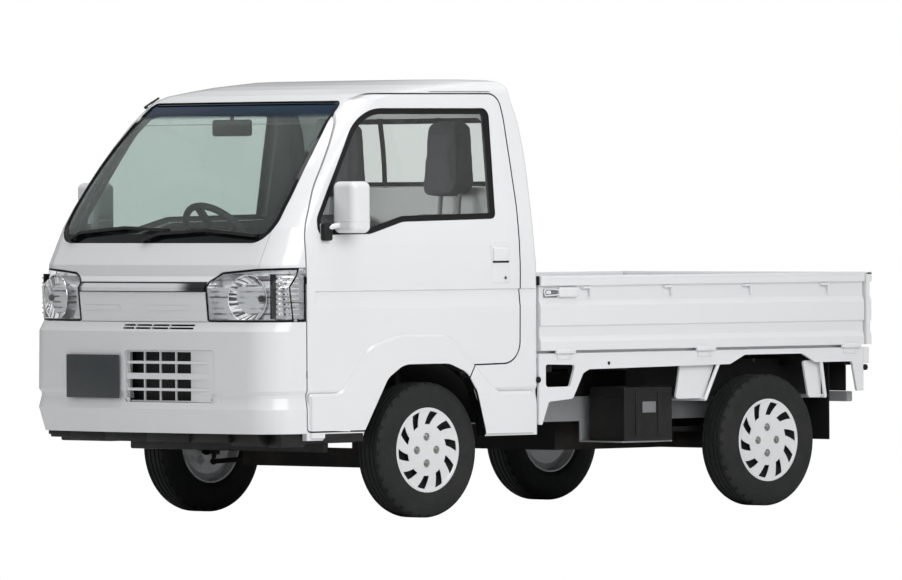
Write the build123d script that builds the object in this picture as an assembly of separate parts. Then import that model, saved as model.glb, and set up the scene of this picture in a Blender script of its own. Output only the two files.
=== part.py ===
from build123d import *
import math
import os

os.makedirs("parts", exist_ok=True)

# A small cab-over truck with an open bed. Millimetres. The nose points along -Y, the truck's left
# side is +X, +Z is up, and the origin lies on the ground below the middle of the overall box.

# ---------------------------------------------------------------- overall sizes
LENGTH = 3395.0  # nose to tail gate
WIDTH = 1475.0  # over the wheel flares and the gate rails
HEIGHT = 1745.0  # ground to the top of the roof
WHEELBASE = 1900.0
FRONT_OVERHANG = 917.0  # nose to front axle
TRACK = 1290.0  # middle of left tyre to middle of right tyre

# ---------------------------------------------------------------- cab sizes
CAB_LENGTH = 1508.0  # nose to the rear face of the cab
CAB_WALL = 45.0  # skin to trim, doors included
SKIN_INSET = 10.0  # door skin behind the widest point of the flares
SKIRT_Z = 320.0  # lowest edge of the cab's side
BELT_Z = 1092.0  # windscreen base
HEADER_Z = 1663.0  # windscreen top
BUMPER_TOP_Z = 787.0
BONNET_EDGE_Z = 1012.0
PANEL_GAP = 6.0  # shut line round each door
SEAM = 2.0  # seam round the lamps and between fixed panels
DOOR_PIN_IN = 8.0  # hinge pin behind the door skin
DOOR_PIN_BACK = 40.0  # hinge pin behind the door's front edge
DOOR_PIN_R = 4.0
DOOR_PIN_Z = (580.0, 950.0)
GLASS = 5.0
GLASS_GAP = 1.0  # between a pane and the edge of its opening
GLASS_RECESS = 6.0  # outer skin to the outer face of a pane
FOOT_Z = 430.0  # foot well floor
SEAT_DECK_Z = 690.0  # deck that carries the seats
PANEL_T = 20.0

# ---------------------------------------------------------------- wheels
TYRE_R = 270.0
TYRE_W = 145.0
RIM_R = 152.4  # bead seat
RIM_FLANGE_R = 166.0
RIM_W = 112.0
COVER_R = 169.0
BEAD_IN = 32.0  # tyre bead inboard of the sidewall's widest point
COVER_X = 60.0  # wheel centre plane to the outer face of the cover
HUB_R = 34.0
SPINDLE_R = 17.0
RUNNING_GAP = 0.05  # radial clearance of a spindle in its hub
KINGPIN_IN = 70.0  # lower ball joint inboard of the wheel centre plane
KINGPIN_LOW = 65.0  # lower ball joint below the axle
KINGPIN_LEAN = 70.0  # how far the strut's top stands inboard of the ball joint
BALL_R = 14.0
JOINT_GAP = 0.3

# ---------------------------------------------------------------- bed
BED_GAP = 7.0  # cab's rear face to the bed's front edge
LOAD_Z = 663.0  # load floor
FLOOR_T = 38.0
RAIL_Z = 952.0  # top of the gate rails
GATE_T = 33.0
GATE_FOOT_Z = 655.0  # lower edge of the closed gates
SILL_TOP_Z = 643.0
SILL_Z = 577.0  # lower edge of the bed's side sill
SILL_T = 12.0
TAIL_T = 40.0  # room the tail gate takes behind the side gates
HINGE_R = 4.0
HINGE_Z = 647.0
MOVE_GAP = 6.0  # between pieces that swing past each other

# ---------------------------------------------------------------- chassis
RAIL_X = 410.0  # middle of each frame rail
FRAME_Z = 360.0
FRAME_H = 100.0
FRAME_W = 45.0
BEARER_H = 55.0

# ---------------------------------------------------------------- places worked out from the sizes
HALF = WIDTH / 2
NOSE_Y = -LENGTH / 2
TAIL_Y = LENGTH / 2
FRONT_AXLE_Y = NOSE_Y + FRONT_OVERHANG
REAR_AXLE_Y = FRONT_AXLE_Y + WHEELBASE
CAB_BACK_Y = NOSE_Y + CAB_LENGTH
SKIN_X = HALF - SKIN_INSET
INNER_X = SKIN_X - CAB_WALL
BED_Y = CAB_BACK_Y + BED_GAP
GATE_END_Y = TAIL_Y - TAIL_T - 2.5
WHEEL_X = TRACK / 2
HINGE_X = HALF - HINGE_R
TAIL_HINGE_Y = TAIL_Y - HINGE_R
GATE_INNER_X = HALF - GATE_T
FLOOR_X = GATE_INNER_X - MOVE_GAP
DOOR_PIN_X = SKIN_X - DOOR_PIN_IN
SWEEP_R = math.hypot(CAB_WALL - DOOR_PIN_IN, DOOR_PIN_BACK) + MOVE_GAP
TRIM_X = DOOR_PIN_X - SWEEP_R  # floor and dashboard end here, clear of the opening doors

# Horizontal sections of the cab's outer skin, from the skirt to the roof. Columns: height,
# side inset from the door skin, nose setback, back setback, crown radius, corner radius.
CAB_LEVELS = (
    (SKIRT_Z, 0.0, 38.0, 0.0, 4200.0, 150.0),
    (443.0, 0.0, 0.0, 0.0, 4200.0, 135.0),
    (488.0, 8.0, 10.0, 0.0, 4200.0, 135.0),
    (500.0, 8.0, 9.0, 0.0, 4200.0, 135.0),
    (516.0, 0.0, 1.0, 0.0, 4200.0, 135.0),
    (BUMPER_TOP_Z - 37.0, 0.0, 4.0, 0.0, 4200.0, 138.0),
    (BUMPER_TOP_Z, 0.0, 28.0, 0.0, 4200.0, 138.0),
    (923.0, 0.0, 14.0, 0.0, 4200.0, 145.0),
    (968.0, 0.0, 47.0, 0.0, 4200.0, 150.0),
    (BONNET_EDGE_Z, 1.0, 52.0, 0.0, 4200.0, 150.0),
    (BELT_Z, 6.0, 90.0, 6.0, 4100.0, 145.0),
    (1160.0, 14.0, 121.0, 6.0, 4000.0, 140.0),
    (1240.0, 25.0, 173.0, 7.0, 4000.0, 134.0),
    (1320.0, 36.0, 232.0, 9.0, 4000.0, 128.0),
    (1400.0, 46.0, 297.0, 12.0, 4000.0, 120.0),
    (1480.0, 57.0, 368.0, 19.0, 4000.0, 114.0),
    (1575.0, 70.0, 460.0, 33.0, 4000.0, 106.0),
    (HEADER_Z, 82.0, 568.0, 62.0, 4000.0, 110.0),
    (HEIGHT - 58.0, 86.0, 612.0, 66.0, 4000.0, 190.0),
    (HEIGHT - 39.0, 92.0, 670.0, 70.0, 4000.0, 330.0),
    (HEIGHT - 23.0, 102.0, 750.0, 78.0, 4000.0, 400.0),
    (HEIGHT - 10.0, 120.0, 860.0, 95.0, 4000.0, 440.0),
    (HEIGHT - 3.0, 155.0, 980.0, 130.0, 4000.0, 300.0),
    (HEIGHT, 240.0, 1080.0, 190.0, 4000.0, 120.0),
)
REAR_CORNER_R = 20.0
STEEPEST_LEAN = 1.3

# Door outline seen from the side. Columns: distance behind the nose, height, corner radius.
DOOR_OUTLINE = (
    (260.0, 357.0, 14.0),
    (260.0, 1140.0, 260.0),
    (340.0, 1312.0, 500.0),
    (572.0, 1646.0, 90.0),
    (700.0, 1683.0, 150.0),
    (1366.0, 1684.0, 60.0),
    (1384.0, 1590.0, 200.0),
    (1410.0, 1240.0, 900.0),
    (1402.0, 612.0, 85.0),
    (1150.0, 608.0, 20.0),
    (1110.0, 540.0, 20.0),
    (1110.0, 357.0, 8.0),
)

# Side window, seen from the side, with the same columns.
SIDE_WINDOW = (
    (329.0, 1128.0, 30.0),
    (329.0, 1194.0, 60.0),
    (607.0, 1629.0, 230.0),
    (1311.0, 1629.0, 36.0),
    (1292.0, 1186.0, 26.0),
    (790.0, 1177.0, 90.0),
    (610.0, 1130.0, 90.0),
)

# Front wheel arch, seen from the side. Columns: distance behind the front axle, height, radius.
FRONT_ARCH = (
    (-420.0, 200.0, 5.0),
    (-368.0, 346.0, 30.0),
    (-236.0, 560.0, 80.0),
    (-150.0, 613.0, 120.0),
    (95.0, 613.0, 120.0),
    (195.0, 575.0, 90.0),
    (246.0, 500.0, 90.0),
    (290.0, 346.0, 30.0),
    (310.0, 200.0, 5.0),
)

# Raised flare and sill band, with the same columns as the arch.
FLARE_OUTLINE = (
    (-652.0, 320.0, 16.0),
    (-652.0, 505.0, 16.0),
    (-490.0, 505.0, 60.0),
    (-330.0, 690.0, 110.0),
    (-170.0, 732.0, 140.0),
    (100.0, 732.0, 140.0),
    (310.0, 545.0, 110.0),
    (372.0, 496.0, 60.0),
    (565.0, 496.0, 16.0),
    (565.0, 320.0, 16.0),
)

# Right half of the windscreen opening, seen from the front. Columns: distance from the middle,
# height, corner radius.
SCREEN_OUTLINE = (
    (640.0, BELT_Z + 6.0, 95.0),
    (636.0, 1290.0, 900.0),
    (611.0, 1475.0, 900.0),
    (564.0, HEADER_Z - 4.0, 38.0),
)

# Rear window opening, seen from behind.
BACK_WINDOW_X = 500.0
BACK_WINDOW_Z = (1313.0, 1594.0)

# Headlamp opening on one side, seen from the front. Columns: distance from the middle, height, radius.
LAMP_OUTLINE = (
    (381.0, BUMPER_TOP_Z + SEAM, 10.0),
    (381.0, 946.0, 20.0),
    (437.0, 982.0, 40.0),
    (619.0, 996.0, 200.0),
    (800.0, 1001.0, 2.0),
    (800.0, BUMPER_TOP_Z + SEAM, 2.0),
)


# ================================================================ shapes
def block(x, y, z):
    """A box from (low, high) pairs."""
    size = Box(x[1] - x[0], y[1] - y[0], z[1] - z[0])
    return Pos((x[0] + x[1]) / 2, (y[0] + y[1]) / 2, (z[0] + z[1]) / 2) * size


def rod(start, end, radius):
    """A round bar between two points."""
    axis = Vector(*end) - Vector(*start)
    plane = Plane(origin=start, z_dir=axis)
    return extrude(plane * Circle(radius), amount=axis.length)


def rounded(corners):
    """A closed flat outline from rows of (u, v, corner radius)."""
    points = [Vector(u, v) for u, v, _ in corners]
    count = len(points)
    edges = []
    joins = []
    for i, (_, _, radius) in enumerate(corners):
        here = points[i]
        back = (points[i - 1] - here).normalized()
        ahead = (points[(i + 1) % count] - here).normalized()
        half_turn = math.radians(back.get_angle(ahead)) / 2
        reach = radius / math.tan(half_turn)
        inward = (back + ahead).normalized()
        middle = here + inward * (radius / math.sin(half_turn) - radius)
        joins.append((here + back * reach, middle, here + ahead * reach))
    for i, (start, middle, end) in enumerate(joins):
        edges.append(ThreePointArc(start, middle, end))
        following = joins[(i + 1) % count][0]
        if (following - end).length > 0.001:
            edges.append(Line(end, following))
    return make_face(edges)


def side_prism(outline, x):
    """A flat outline in (y, z), extruded between two x positions."""
    return extrude(Plane.YZ.offset(x[0]) * outline, amount=x[1] - x[0])


def front_prism(outline, y):
    """A flat outline in (x, z), extruded between two y positions."""
    return extrude(Plane.XZ.offset(-y[1]) * outline, amount=y[1] - y[0])


def mirrored(shape):
    """The same shape on the other side of the truck."""
    return mirror(shape, about=Plane.YZ)


def both_sides(shape):
    """A shape on the left with its mirror image on the right."""
    return [shape, mirrored(shape)]


def shifted(rows, u):
    """Rows of (u, v, radius) moved along u."""
    return [(row[0] + u, row[1], row[2]) for row in rows]


# ================================================================ cab skin
def cab_section(level, inset, nose_inset):
    """One horizontal outline of the cab, drawn in by inset, and by nose_inset at the front."""
    height, side, nose, back, crown_r, corner_r = level
    x = SKIN_X - side - inset
    front = NOSE_Y + nose + nose_inset
    rear = CAB_BACK_Y - back - inset
    bend = max(corner_r - inset, 20.0)
    crown = crown_r - inset
    corner_y = front + crown - math.sqrt((crown - bend) ** 2 - (x - bend) ** 2)
    touch = crown / (crown - bend)
    touch_x = (x - bend) * touch
    touch_y = front + crown + (corner_y - front - crown) * touch
    turn = math.radians(45)
    corner_mid = Vector(x - bend + bend * math.cos(turn), corner_y - bend * math.sin(turn))
    rear_r = max(REAR_CORNER_R - inset / 2, 10.0)
    rear_mid = Vector(x - rear_r + rear_r * math.cos(turn), rear - rear_r + rear_r * math.sin(turn))
    half = [
        Line((0, rear), (x - rear_r, rear)),
        ThreePointArc((x - rear_r, rear), rear_mid, (x, rear - rear_r)),
        Line((x, rear - rear_r), (x, corner_y)),
        ThreePointArc((x, corner_y), corner_mid, (touch_x, touch_y)),
    ]
    other = [mirror(edge, about=Plane.YZ) for edge in half]
    crown_edge = ThreePointArc((touch_x, touch_y), (0, front), (-touch_x, touch_y))
    outline = make_face(half + [crown_edge] + other)
    return Pos(0, 0, height) * outline


def nose_lean(i):
    """How far the windscreen falls back for each unit of rise, at a row of CAB_LEVELS."""
    if CAB_LEVELS[i][0] < BELT_Z or i + 1 == len(CAB_LEVELS):
        return 0.0
    below, above = CAB_LEVELS[i - 1], CAB_LEVELS[i + 1]
    return min((above[2] - below[2]) / (above[0] - below[0]), STEEPEST_LEAN)


def cab_volume(inset, drop=0.0):
    """The space inside the cab's skin, drawn in by inset all round and by drop from the roof."""
    sections = []
    for i, level in enumerate(CAB_LEVELS):
        share = min(max((level[0] - BELT_Z) / (HEADER_Z - BELT_Z), 0.0), 1.0)
        fall = drop * share
        lean = nose_lean(i)
        nose_inset = inset * math.hypot(1.0, lean) - fall * lean
        sections.append(cab_section((level[0] - fall,) + level[1:], inset, nose_inset))
    return loft(sections, ruled=True)


def skin_sheet(outer, inner):
    """A sheet that follows the cab's skin between two depths below it."""
    return cab_volume(outer, outer) - cab_volume(inner, inner)


door_face = rounded(shifted(DOOR_OUTLINE, NOSE_Y))
window_face = rounded(shifted(SIDE_WINDOW, NOSE_Y))
arch_face = rounded(shifted(FRONT_ARCH, FRONT_AXLE_Y))
flare_face = rounded(shifted(FLARE_OUTLINE, FRONT_AXLE_Y))
lamp_face = rounded(LAMP_OUTLINE)
screen_rows = list(SCREEN_OUTLINE) + [(-x, z, r) for x, z, r in reversed(SCREEN_OUTLINE)]
screen_face = rounded(screen_rows)
SIDE_REACH = (SKIN_X - 152.0, HALF + 20.0)
FRONT_REACH = (NOSE_Y - 20.0, NOSE_Y + 760.0)


def groove_cut():
    """The pressed line along the door and the cab's side: crisp above, fading out below."""
    top = 908.0
    fade = 828.0
    depth = 9.0
    section = Polyline((SKIN_X + 1, top), (SKIN_X - depth, top - 4), (SKIN_X + 1, fade), close=True)
    return front_prism(make_face(section), (NOSE_Y + 305.0, CAB_BACK_Y + 10.0))


def cab_shell():
    """The whole cab's walls in one: skin, flares and grooves, with the arches cut."""
    flare = extrude(Plane.YZ.offset(SKIN_X - 3.0) * flare_face, amount=SKIN_INSET + 3.0, taper=38)
    outer = cab_volume(0.0) + both_sides(flare)
    shell = outer - cab_volume(CAB_WALL, CAB_WALL)
    shell = shell - block((-INNER_X, INNER_X), (FRONT_AXLE_Y, CAB_BACK_Y + 10), (SKIRT_Z - 1, SEAT_DECK_Z - PANEL_T))
    arches = side_prism(arch_face, (-HALF - 20, HALF + 20))
    return shell - arches - both_sides(groove_cut())


def cut_windows(shell):
    """The shell with its side windows, windscreen and rear window open."""
    shell = shell - both_sides(side_prism(window_face, SIDE_REACH))
    shell = shell - front_prism(screen_face, FRONT_REACH)
    back = RectangleRounded(2 * BACK_WINDOW_X, BACK_WINDOW_Z[1] - BACK_WINDOW_Z[0], 40.0)
    back = Pos(0, (BACK_WINDOW_Z[0] + BACK_WINDOW_Z[1]) / 2) * back
    return shell - front_prism(back, (CAB_BACK_Y - 160, CAB_BACK_Y + 10))


def pane(opening_prism):
    """A sheet of glass that follows the skin and fills an opening."""
    return skin_sheet(GLASS_RECESS, GLASS_RECESS + GLASS) & opening_prism


# ================================================================ cab panels
DOOR_FRONT_Y = NOSE_Y + DOOR_OUTLINE[0][0]
DOOR_PIN_Y = DOOR_FRONT_Y + DOOR_PIN_BACK
BUMPER_END_Y = DOOR_FRONT_Y - PANEL_GAP
ROOF_Z = HEADER_Z + 22.0
BACK_PANEL_X = 590.0
GRILLE_X = (-74.0, 440.0)
GRILLE_Z = (470.0, 676.0)
GRILLE_OPEN_X = 310.0  # the openings end here, short of the grille's left end
PLATE_X = (-436.0, -92.0)
PLATE_Z = (483.0, 655.0)
SLOT_X = (-90.0, 319.0)
SLOT_Z = ((759.0, 766.0), (771.0, 778.0))
GARNISH_X = 377.0
GARNISH_Z = (BUMPER_TOP_Z + SEAM, 944.0)
GARNISH_T = 20.0
BAR_H = 38.0
FENDER_X = 622.0  # seam between the nose panel and the corner above each headlamp
FENDER_TOP_Z = 1214.0
BUMPER_Z = 348.0  # lower edge of the bumper
NOSE_PANEL_TOP_Z = 1150.0
GRILLE_ROWS = ((477.0, 515.0), (526.0, 561.0), (585.0, 622.0), (633.0, 669.0))
GRILLE_DEPTH = 24.0  # face of the grille behind the nose
RAIL_DEPTH = 14.0  # its rails stand this far behind the nose

shell = cab_shell()
open_shell = cut_windows(shell)
shrunk_window = offset(window_face, amount=-GLASS_GAP)
shrunk_screen = offset(screen_face, amount=-GLASS_GAP)
grown_door = offset(door_face, amount=PANEL_GAP)
grown_lamp = offset(lamp_face, amount=SEAM)
stepped_door = offset(door_face, amount=2 * PANEL_GAP)
# The upper rear corner of each door swings back a little as it opens, so the gap widens inside.
step_box = block((SIDE_REACH[0], SKIN_X - 88.0), (NOSE_Y + 1000.0, CAB_BACK_Y), (BELT_Z, HEIGHT))

pieces = {}


def pair(name, left):
    """Add a left piece and its mirror image as two nodes."""
    pieces[name + "_left"] = left
    pieces[name + "_right"] = mirrored(left)


def cab_panels():
    """Split the cab's shell where the real panels meet."""
    doorway = side_prism(grown_door, SIDE_REACH) + (side_prism(stepped_door, SIDE_REACH) & step_box)
    ahead = (NOSE_Y - 20.0, BUMPER_END_Y)
    fixed = open_shell - both_sides(doorway) - block((-WIDTH, WIDTH), ahead, (SKIRT_Z - 10, BUMPER_Z))
    near_nose = (NOSE_Y - 20.0, NOSE_Y + 120.0)
    wide = (-WIDTH, WIDTH)
    inner = (-FENDER_X, FENDER_X)
    bumper_box = block(wide, ahead, (SKIRT_Z - 10, BUMPER_TOP_Z))
    nose_box = block(inner, ahead, (BUMPER_TOP_Z, NOSE_PANEL_TOP_Z))
    corner = block((FENDER_X, WIDTH), ahead, (BUMPER_TOP_Z, FENDER_TOP_Z))
    roof_box = block(wide, (NOSE_Y, CAB_BACK_Y + 10), (ROOF_Z, HEIGHT + 10))
    back_box = block((-BACK_PANEL_X, BACK_PANEL_X), (CAB_BACK_Y - 160, CAB_BACK_Y + 10), (600, ROOF_Z))
    grille = Pos(sum(GRILLE_X) / 2, sum(GRILLE_Z) / 2)
    grille = grille * RectangleRounded(GRILLE_X[1] - GRILLE_X[0], GRILLE_Z[1] - GRILLE_Z[0], 14.0)
    bumper = (fixed & bumper_box) - front_prism(grille, near_nose)
    for slot_z in SLOT_Z:
        bumper = bumper - block(SLOT_X, near_nose, slot_z)
    pieces["front_bumper"] = bumper
    lamps = both_sides(front_prism(grown_lamp, (NOSE_Y - 20, NOSE_Y + 500)))
    garnish = block((-GARNISH_X - SEAM, GARNISH_X + SEAM), near_nose,
                    (GARNISH_Z[0] - SEAM, GARNISH_Z[1] + SEAM))
    garnish = garnish - cab_volume(GARNISH_T + JOINT_GAP)
    pieces["front_panel"] = (fixed & nose_box) - lamps - garnish
    fender = fixed & corner
    fender = fender - block((0, FENDER_X + SEAM), ahead, (BUMPER_TOP_Z - 1, HEADER_Z)) - lamps
    pieces["front_corners"] = Compound(both_sides(fender))
    pieces["roof_panel"] = fixed & roof_box
    pieces["back_panel"] = fixed & back_box
    rest = fixed - bumper_box - nose_box - both_sides(corner)
    pieces["side_frames"] = rest - roof_box - back_box


def cab_glass():
    """Windscreen, rear window and door glass, each following the skin."""
    pieces["windscreen"] = pane(front_prism(shrunk_screen, FRONT_REACH))
    height = BACK_WINDOW_Z[1] - BACK_WINDOW_Z[0]
    back = RectangleRounded(2 * (BACK_WINDOW_X - GLASS_GAP), height - 2 * GLASS_GAP, 39.0)
    back = Pos(0, sum(BACK_WINDOW_Z) / 2) * back
    pieces["rear_window"] = pane(front_prism(back, (CAB_BACK_Y - 160, CAB_BACK_Y + 10)))
    pair("door_glass", pane(side_prism(shrunk_window, SIDE_REACH)))


def doors():
    """Side doors, pocketed for the hinges, and the pillars with pins that they swing on."""
    door = open_shell & side_prism(door_face, SIDE_REACH)
    inward = (INNER_X - 20, INNER_X - JOINT_GAP)
    pillar_y = (BUMPER_END_Y - 22, BUMPER_END_Y - 5)
    hinges = block(inward, pillar_y, (DOOR_PIN_Z[0] - 12, DOOR_PIN_Z[1] + 12))
    for z in DOOR_PIN_Z:
        low, high = (DOOR_PIN_X, DOOR_PIN_Y, z - 30), (DOOR_PIN_X, DOOR_PIN_Y, z + 30)
        door = door - rod(low, high, DOOR_PIN_R + JOINT_GAP)
        door = door - block((INNER_X - 1, DOOR_PIN_X + 6), (DOOR_FRONT_Y - 1, DOOR_PIN_Y + 8), (z - 15, z + 15))
        arm = block((inward[0], DOOR_PIN_X), (DOOR_PIN_Y - 4, DOOR_PIN_Y + 4), (z - 12, z + 12))
        link = block(inward, (pillar_y[0], DOOR_PIN_Y + 4), (z - 12, z + 12))
        hinges = hinges + rod(low, high, DOOR_PIN_R) + arm + link
    pair("door", door)
    pieces["door_hinges"] = Compound(both_sides(hinges))


def door_mirrors():
    """Mirror head and arm on each door, ahead of the window."""
    head = fillet(Box(128, 104, 204).edges(), 26.0)
    head = Pos(SKIN_X + 43, NOSE_Y + 461, 1237) * head
    foot = Pos(SKIN_X - 8, NOSE_Y + 364, 1140) * fillet(Box(44, 44, 66).edges(), 8.0)
    arm = rod((SKIN_X + 4, NOSE_Y + 368, 1156), (SKIN_X + 30, NOSE_Y + 430, 1172), 11.0)
    pair("door_mirror", (head + foot + arm) - cab_volume(-JOINT_GAP))


def front_lamps():
    """Headlamp lenses that wrap round the corners, and the bowls behind them."""
    reach = (NOSE_Y - 20, BUMPER_END_Y)
    lens = skin_sheet(1.0, 5.0) & front_prism(lamp_face, reach)
    housing = skin_sheet(5.0, CAB_WALL) & front_prism(offset(lamp_face, amount=-1.0), reach)
    room = skin_sheet(4.0, CAB_WALL - 6) & front_prism(offset(lamp_face, amount=-9.0), (reach[0], reach[1] - 9))
    pieces["headlamp_lenses"] = Compound(both_sides(lens))
    pieces["headlamp_housings"] = Compound(both_sides(housing - room))


def front_garnish():
    """The panel between the headlamps, with the bright bar along its top."""
    reach = (NOSE_Y - 20, NOSE_Y + 120)
    panel = skin_sheet(1.0, GARNISH_T) & block((-GARNISH_X, GARNISH_X), reach, GARNISH_Z)
    bar_z = (GARNISH_Z[1] - BAR_H, GARNISH_Z[1])
    bar = skin_sheet(-4.0, GARNISH_T) & block((-GARNISH_X, GARNISH_X), reach, bar_z)
    pieces["front_garnish"] = panel - bar
    pieces["garnish_bar"] = bar


def bumper_grille():
    """Pierced plate in the bumper's opening, with three rails across it and a blank left end."""
    x0, x1 = GRILLE_X[0] + 1, GRILLE_X[1] - 1
    z0, z1 = GRILLE_Z[0] + 1, GRILLE_Z[1] - 1
    front, back = NOSE_Y + GRILLE_DEPTH, NOSE_Y + GRILLE_DEPTH + 7
    outline = Pos((x0 + x1) / 2, (z0 + z1) / 2) * RectangleRounded(x1 - x0, z1 - z0, 13.0)
    plate = front_prism(outline, (front, back))
    columns = 4
    edge = 7.0
    step = (GRILLE_OPEN_X - x0 - edge) / columns
    for low, high in GRILLE_ROWS:
        for i in range(columns):
            x = x0 + edge + i * step
            plate = plate - block((x, x + step - edge), (front - 1, back + 1), (low, high))
    for lower, upper in zip(GRILLE_ROWS, GRILLE_ROWS[1:]):
        plate = plate + block((x0 + 3, x1 - 3), (NOSE_Y + RAIL_DEPTH, front + 1), (lower[1], upper[0]))
    plate = plate + block((GRILLE_OPEN_X + 4, x1 - 12), (back - 1, NOSE_Y + CAB_WALL), (z0 + 12, z1 - 12))
    pieces["bumper_grille"] = plate & cab_volume(2.0)


cab_panels()
cab_glass()
doors()
door_mirrors()
front_lamps()
front_garnish()
bumper_grille()

# ================================================================ inside the cab
DECK_Y = NOSE_Y + 590.0
TOE_Y = NOSE_Y + 105.0
DRIVER_X = -305.0
PASSENGER_X = 345.0
SEAT_W = 460.0
HEADREST_W = 205.0
HEADREST_Z = (1285.0, 1580.0)
SEAT_TOP_Z = 1195.0
SEAT_REAR_Y = NOSE_Y + 1120.0


def cab_floor():
    """Bent floor: toe board, foot well, riser and the deck under the seats."""
    back = CAB_BACK_Y - CAB_WALL
    path = [
        (TOE_Y, 790.0),
        (TOE_Y, FOOT_Z),
        (DECK_Y, FOOT_Z),
        (DECK_Y, SEAT_DECK_Z),
        (back, SEAT_DECK_Z),
        (back, SEAT_DECK_Z - PANEL_T),
        (DECK_Y + PANEL_T, SEAT_DECK_Z - PANEL_T),
        (DECK_Y + PANEL_T, FOOT_Z - PANEL_T),
        (TOE_Y - PANEL_T, FOOT_Z - PANEL_T),
        (TOE_Y - PANEL_T, 790.0),
    ]
    sheet = side_prism(make_face(Polyline(*path, close=True)), (-TRIM_X, TRIM_X))
    pieces["cab_floor"] = sheet & cab_volume(CAB_WALL, CAB_WALL)


def dashboard():
    """Dashboard across the cab below the windscreen."""
    rows = [
        (TOE_Y + JOINT_GAP, 792.0, 4.0),
        (TOE_Y + JOINT_GAP, 1064.0, 4.0),
        (NOSE_Y + 330.0, 1062.0, 12.0),
        (NOSE_Y + 425.0, 1010.0, 40.0),
        (NOSE_Y + 415.0, 850.0, 40.0),
        (NOSE_Y + 300.0, 792.0, 20.0),
    ]
    body = side_prism(rounded(rows), (-TRIM_X, TRIM_X))
    pieces["dashboard"] = body & cab_volume(CAB_WALL + 1, CAB_WALL)


WHEEL_TILT = 40.0
STEER_X = DRIVER_X
STEER_Y = NOSE_Y + 727.0
STEER_Z = 1112.0
STEER_R = 185.0
COLUMN_R = 30.0


def steering():
    """Steering wheel with its boss, and the column jacket it turns in."""
    tilt = math.radians(WHEEL_TILT)
    axis = Vector(0, math.cos(tilt), math.sin(tilt))
    centre = Vector(STEER_X, STEER_Y, STEER_Z)
    plane = Plane(origin=centre, z_dir=axis, x_dir=(1, 0, 0))
    rim = plane * Torus(STEER_R - 14, 14)
    hub = plane * Pos(0, 0, -22) * fillet(Cylinder(62, 44).edges(), 12.0)
    wheel = rim + hub
    for angle in (200, 340, 270):
        spoke = Pos(0, 0, -12) * Rot(0, 0, angle) * Pos(STEER_R / 2, 0, 0) * Box(STEER_R - 40, 36, 14)
        wheel = wheel + plane * spoke
    pieces["steering_wheel"] = wheel
    start = centre - axis * (44 + JOINT_GAP)
    length = 420.0
    end = start - axis * length
    jacket = rod(tuple(start), tuple(end), COLUMN_R)
    dash = pieces["dashboard"]
    pieces["dashboard"] = dash - rod(tuple(start), tuple(end), COLUMN_R)
    pieces["steering_column"] = jacket


def seats():
    """Two seats on the deck: a cushion and a backrest that narrows into the headrest."""
    width = SEAT_W / 2
    cushion = block((-width, width), (NOSE_Y + 640, SEAT_REAR_Y), (SEAT_DECK_Z + JOINT_GAP, SEAT_DECK_Z + 170))
    cushion = fillet(cushion.edges(), 40.0)
    profile = rounded([
        (SEAT_REAR_Y + JOINT_GAP, SEAT_DECK_Z + 60, 30.0),
        (SEAT_REAR_Y + JOINT_GAP, SEAT_DECK_Z + 250, 200.0),
        (NOSE_Y + 1330.0, 1330.0, 160.0),
        (NOSE_Y + 1342.0, 1580.0, 36.0),
        (NOSE_Y + 1425.0, 1580.0, 36.0),
        (NOSE_Y + 1428.0, 1330.0, 160.0),
        (NOSE_Y + 1330.0, 900.0, 200.0),
        (NOSE_Y + 1270.0, SEAT_DECK_Z + 60, 30.0),
    ])
    front = rounded([
        (-width, SEAT_DECK_Z, 20.0),
        (-width + 20, SEAT_TOP_Z, 60.0),
        (width - 20, SEAT_TOP_Z, 60.0),
        (width, SEAT_DECK_Z, 20.0),
    ])
    head = rounded([
        (-HEADREST_W / 2, HEADREST_Z[0], 50.0),
        (-HEADREST_W / 2 + 22, HEADREST_Z[1], 46.0),
        (HEADREST_W / 2 - 22, HEADREST_Z[1], 46.0),
        (HEADREST_W / 2, HEADREST_Z[0], 50.0),
    ])
    reach = (NOSE_Y + 1000, CAB_BACK_Y)
    slab = side_prism(profile, (-width, width))
    back = (slab & front_prism(front, reach)) + (slab & front_prism(head, reach))
    for x in (-55.0, 55.0):
        back = back + rod((x, NOSE_Y + 1372, SEAT_TOP_Z - 20), (x, NOSE_Y + 1384, HEADREST_Z[0] + 20), 7.0)
    places = [Pos(x, 0, 0) for x in (DRIVER_X, PASSENGER_X)]
    pieces["seat_cushions"] = Compound([place * cushion for place in places])
    pieces["seat_backs"] = Compound([place * back for place in places])


def inner_mirror():
    """Mirror below the windscreen header, on a stem that is fixed to the glass."""
    glass_y = NOSE_Y + 520.0
    head = Pos(0, glass_y, 1553) * fillet(Box(222, 28, 66).edges(), 12.0)
    stem = rod((0, glass_y, 1553), (0, glass_y, HEADER_Z), 8.0)
    depth = GLASS_RECESS + GLASS
    pieces["inner_mirror"] = head + (stem & cab_volume(depth, depth))


cab_floor()
dashboard()
steering()
seats()
inner_mirror()


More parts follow.
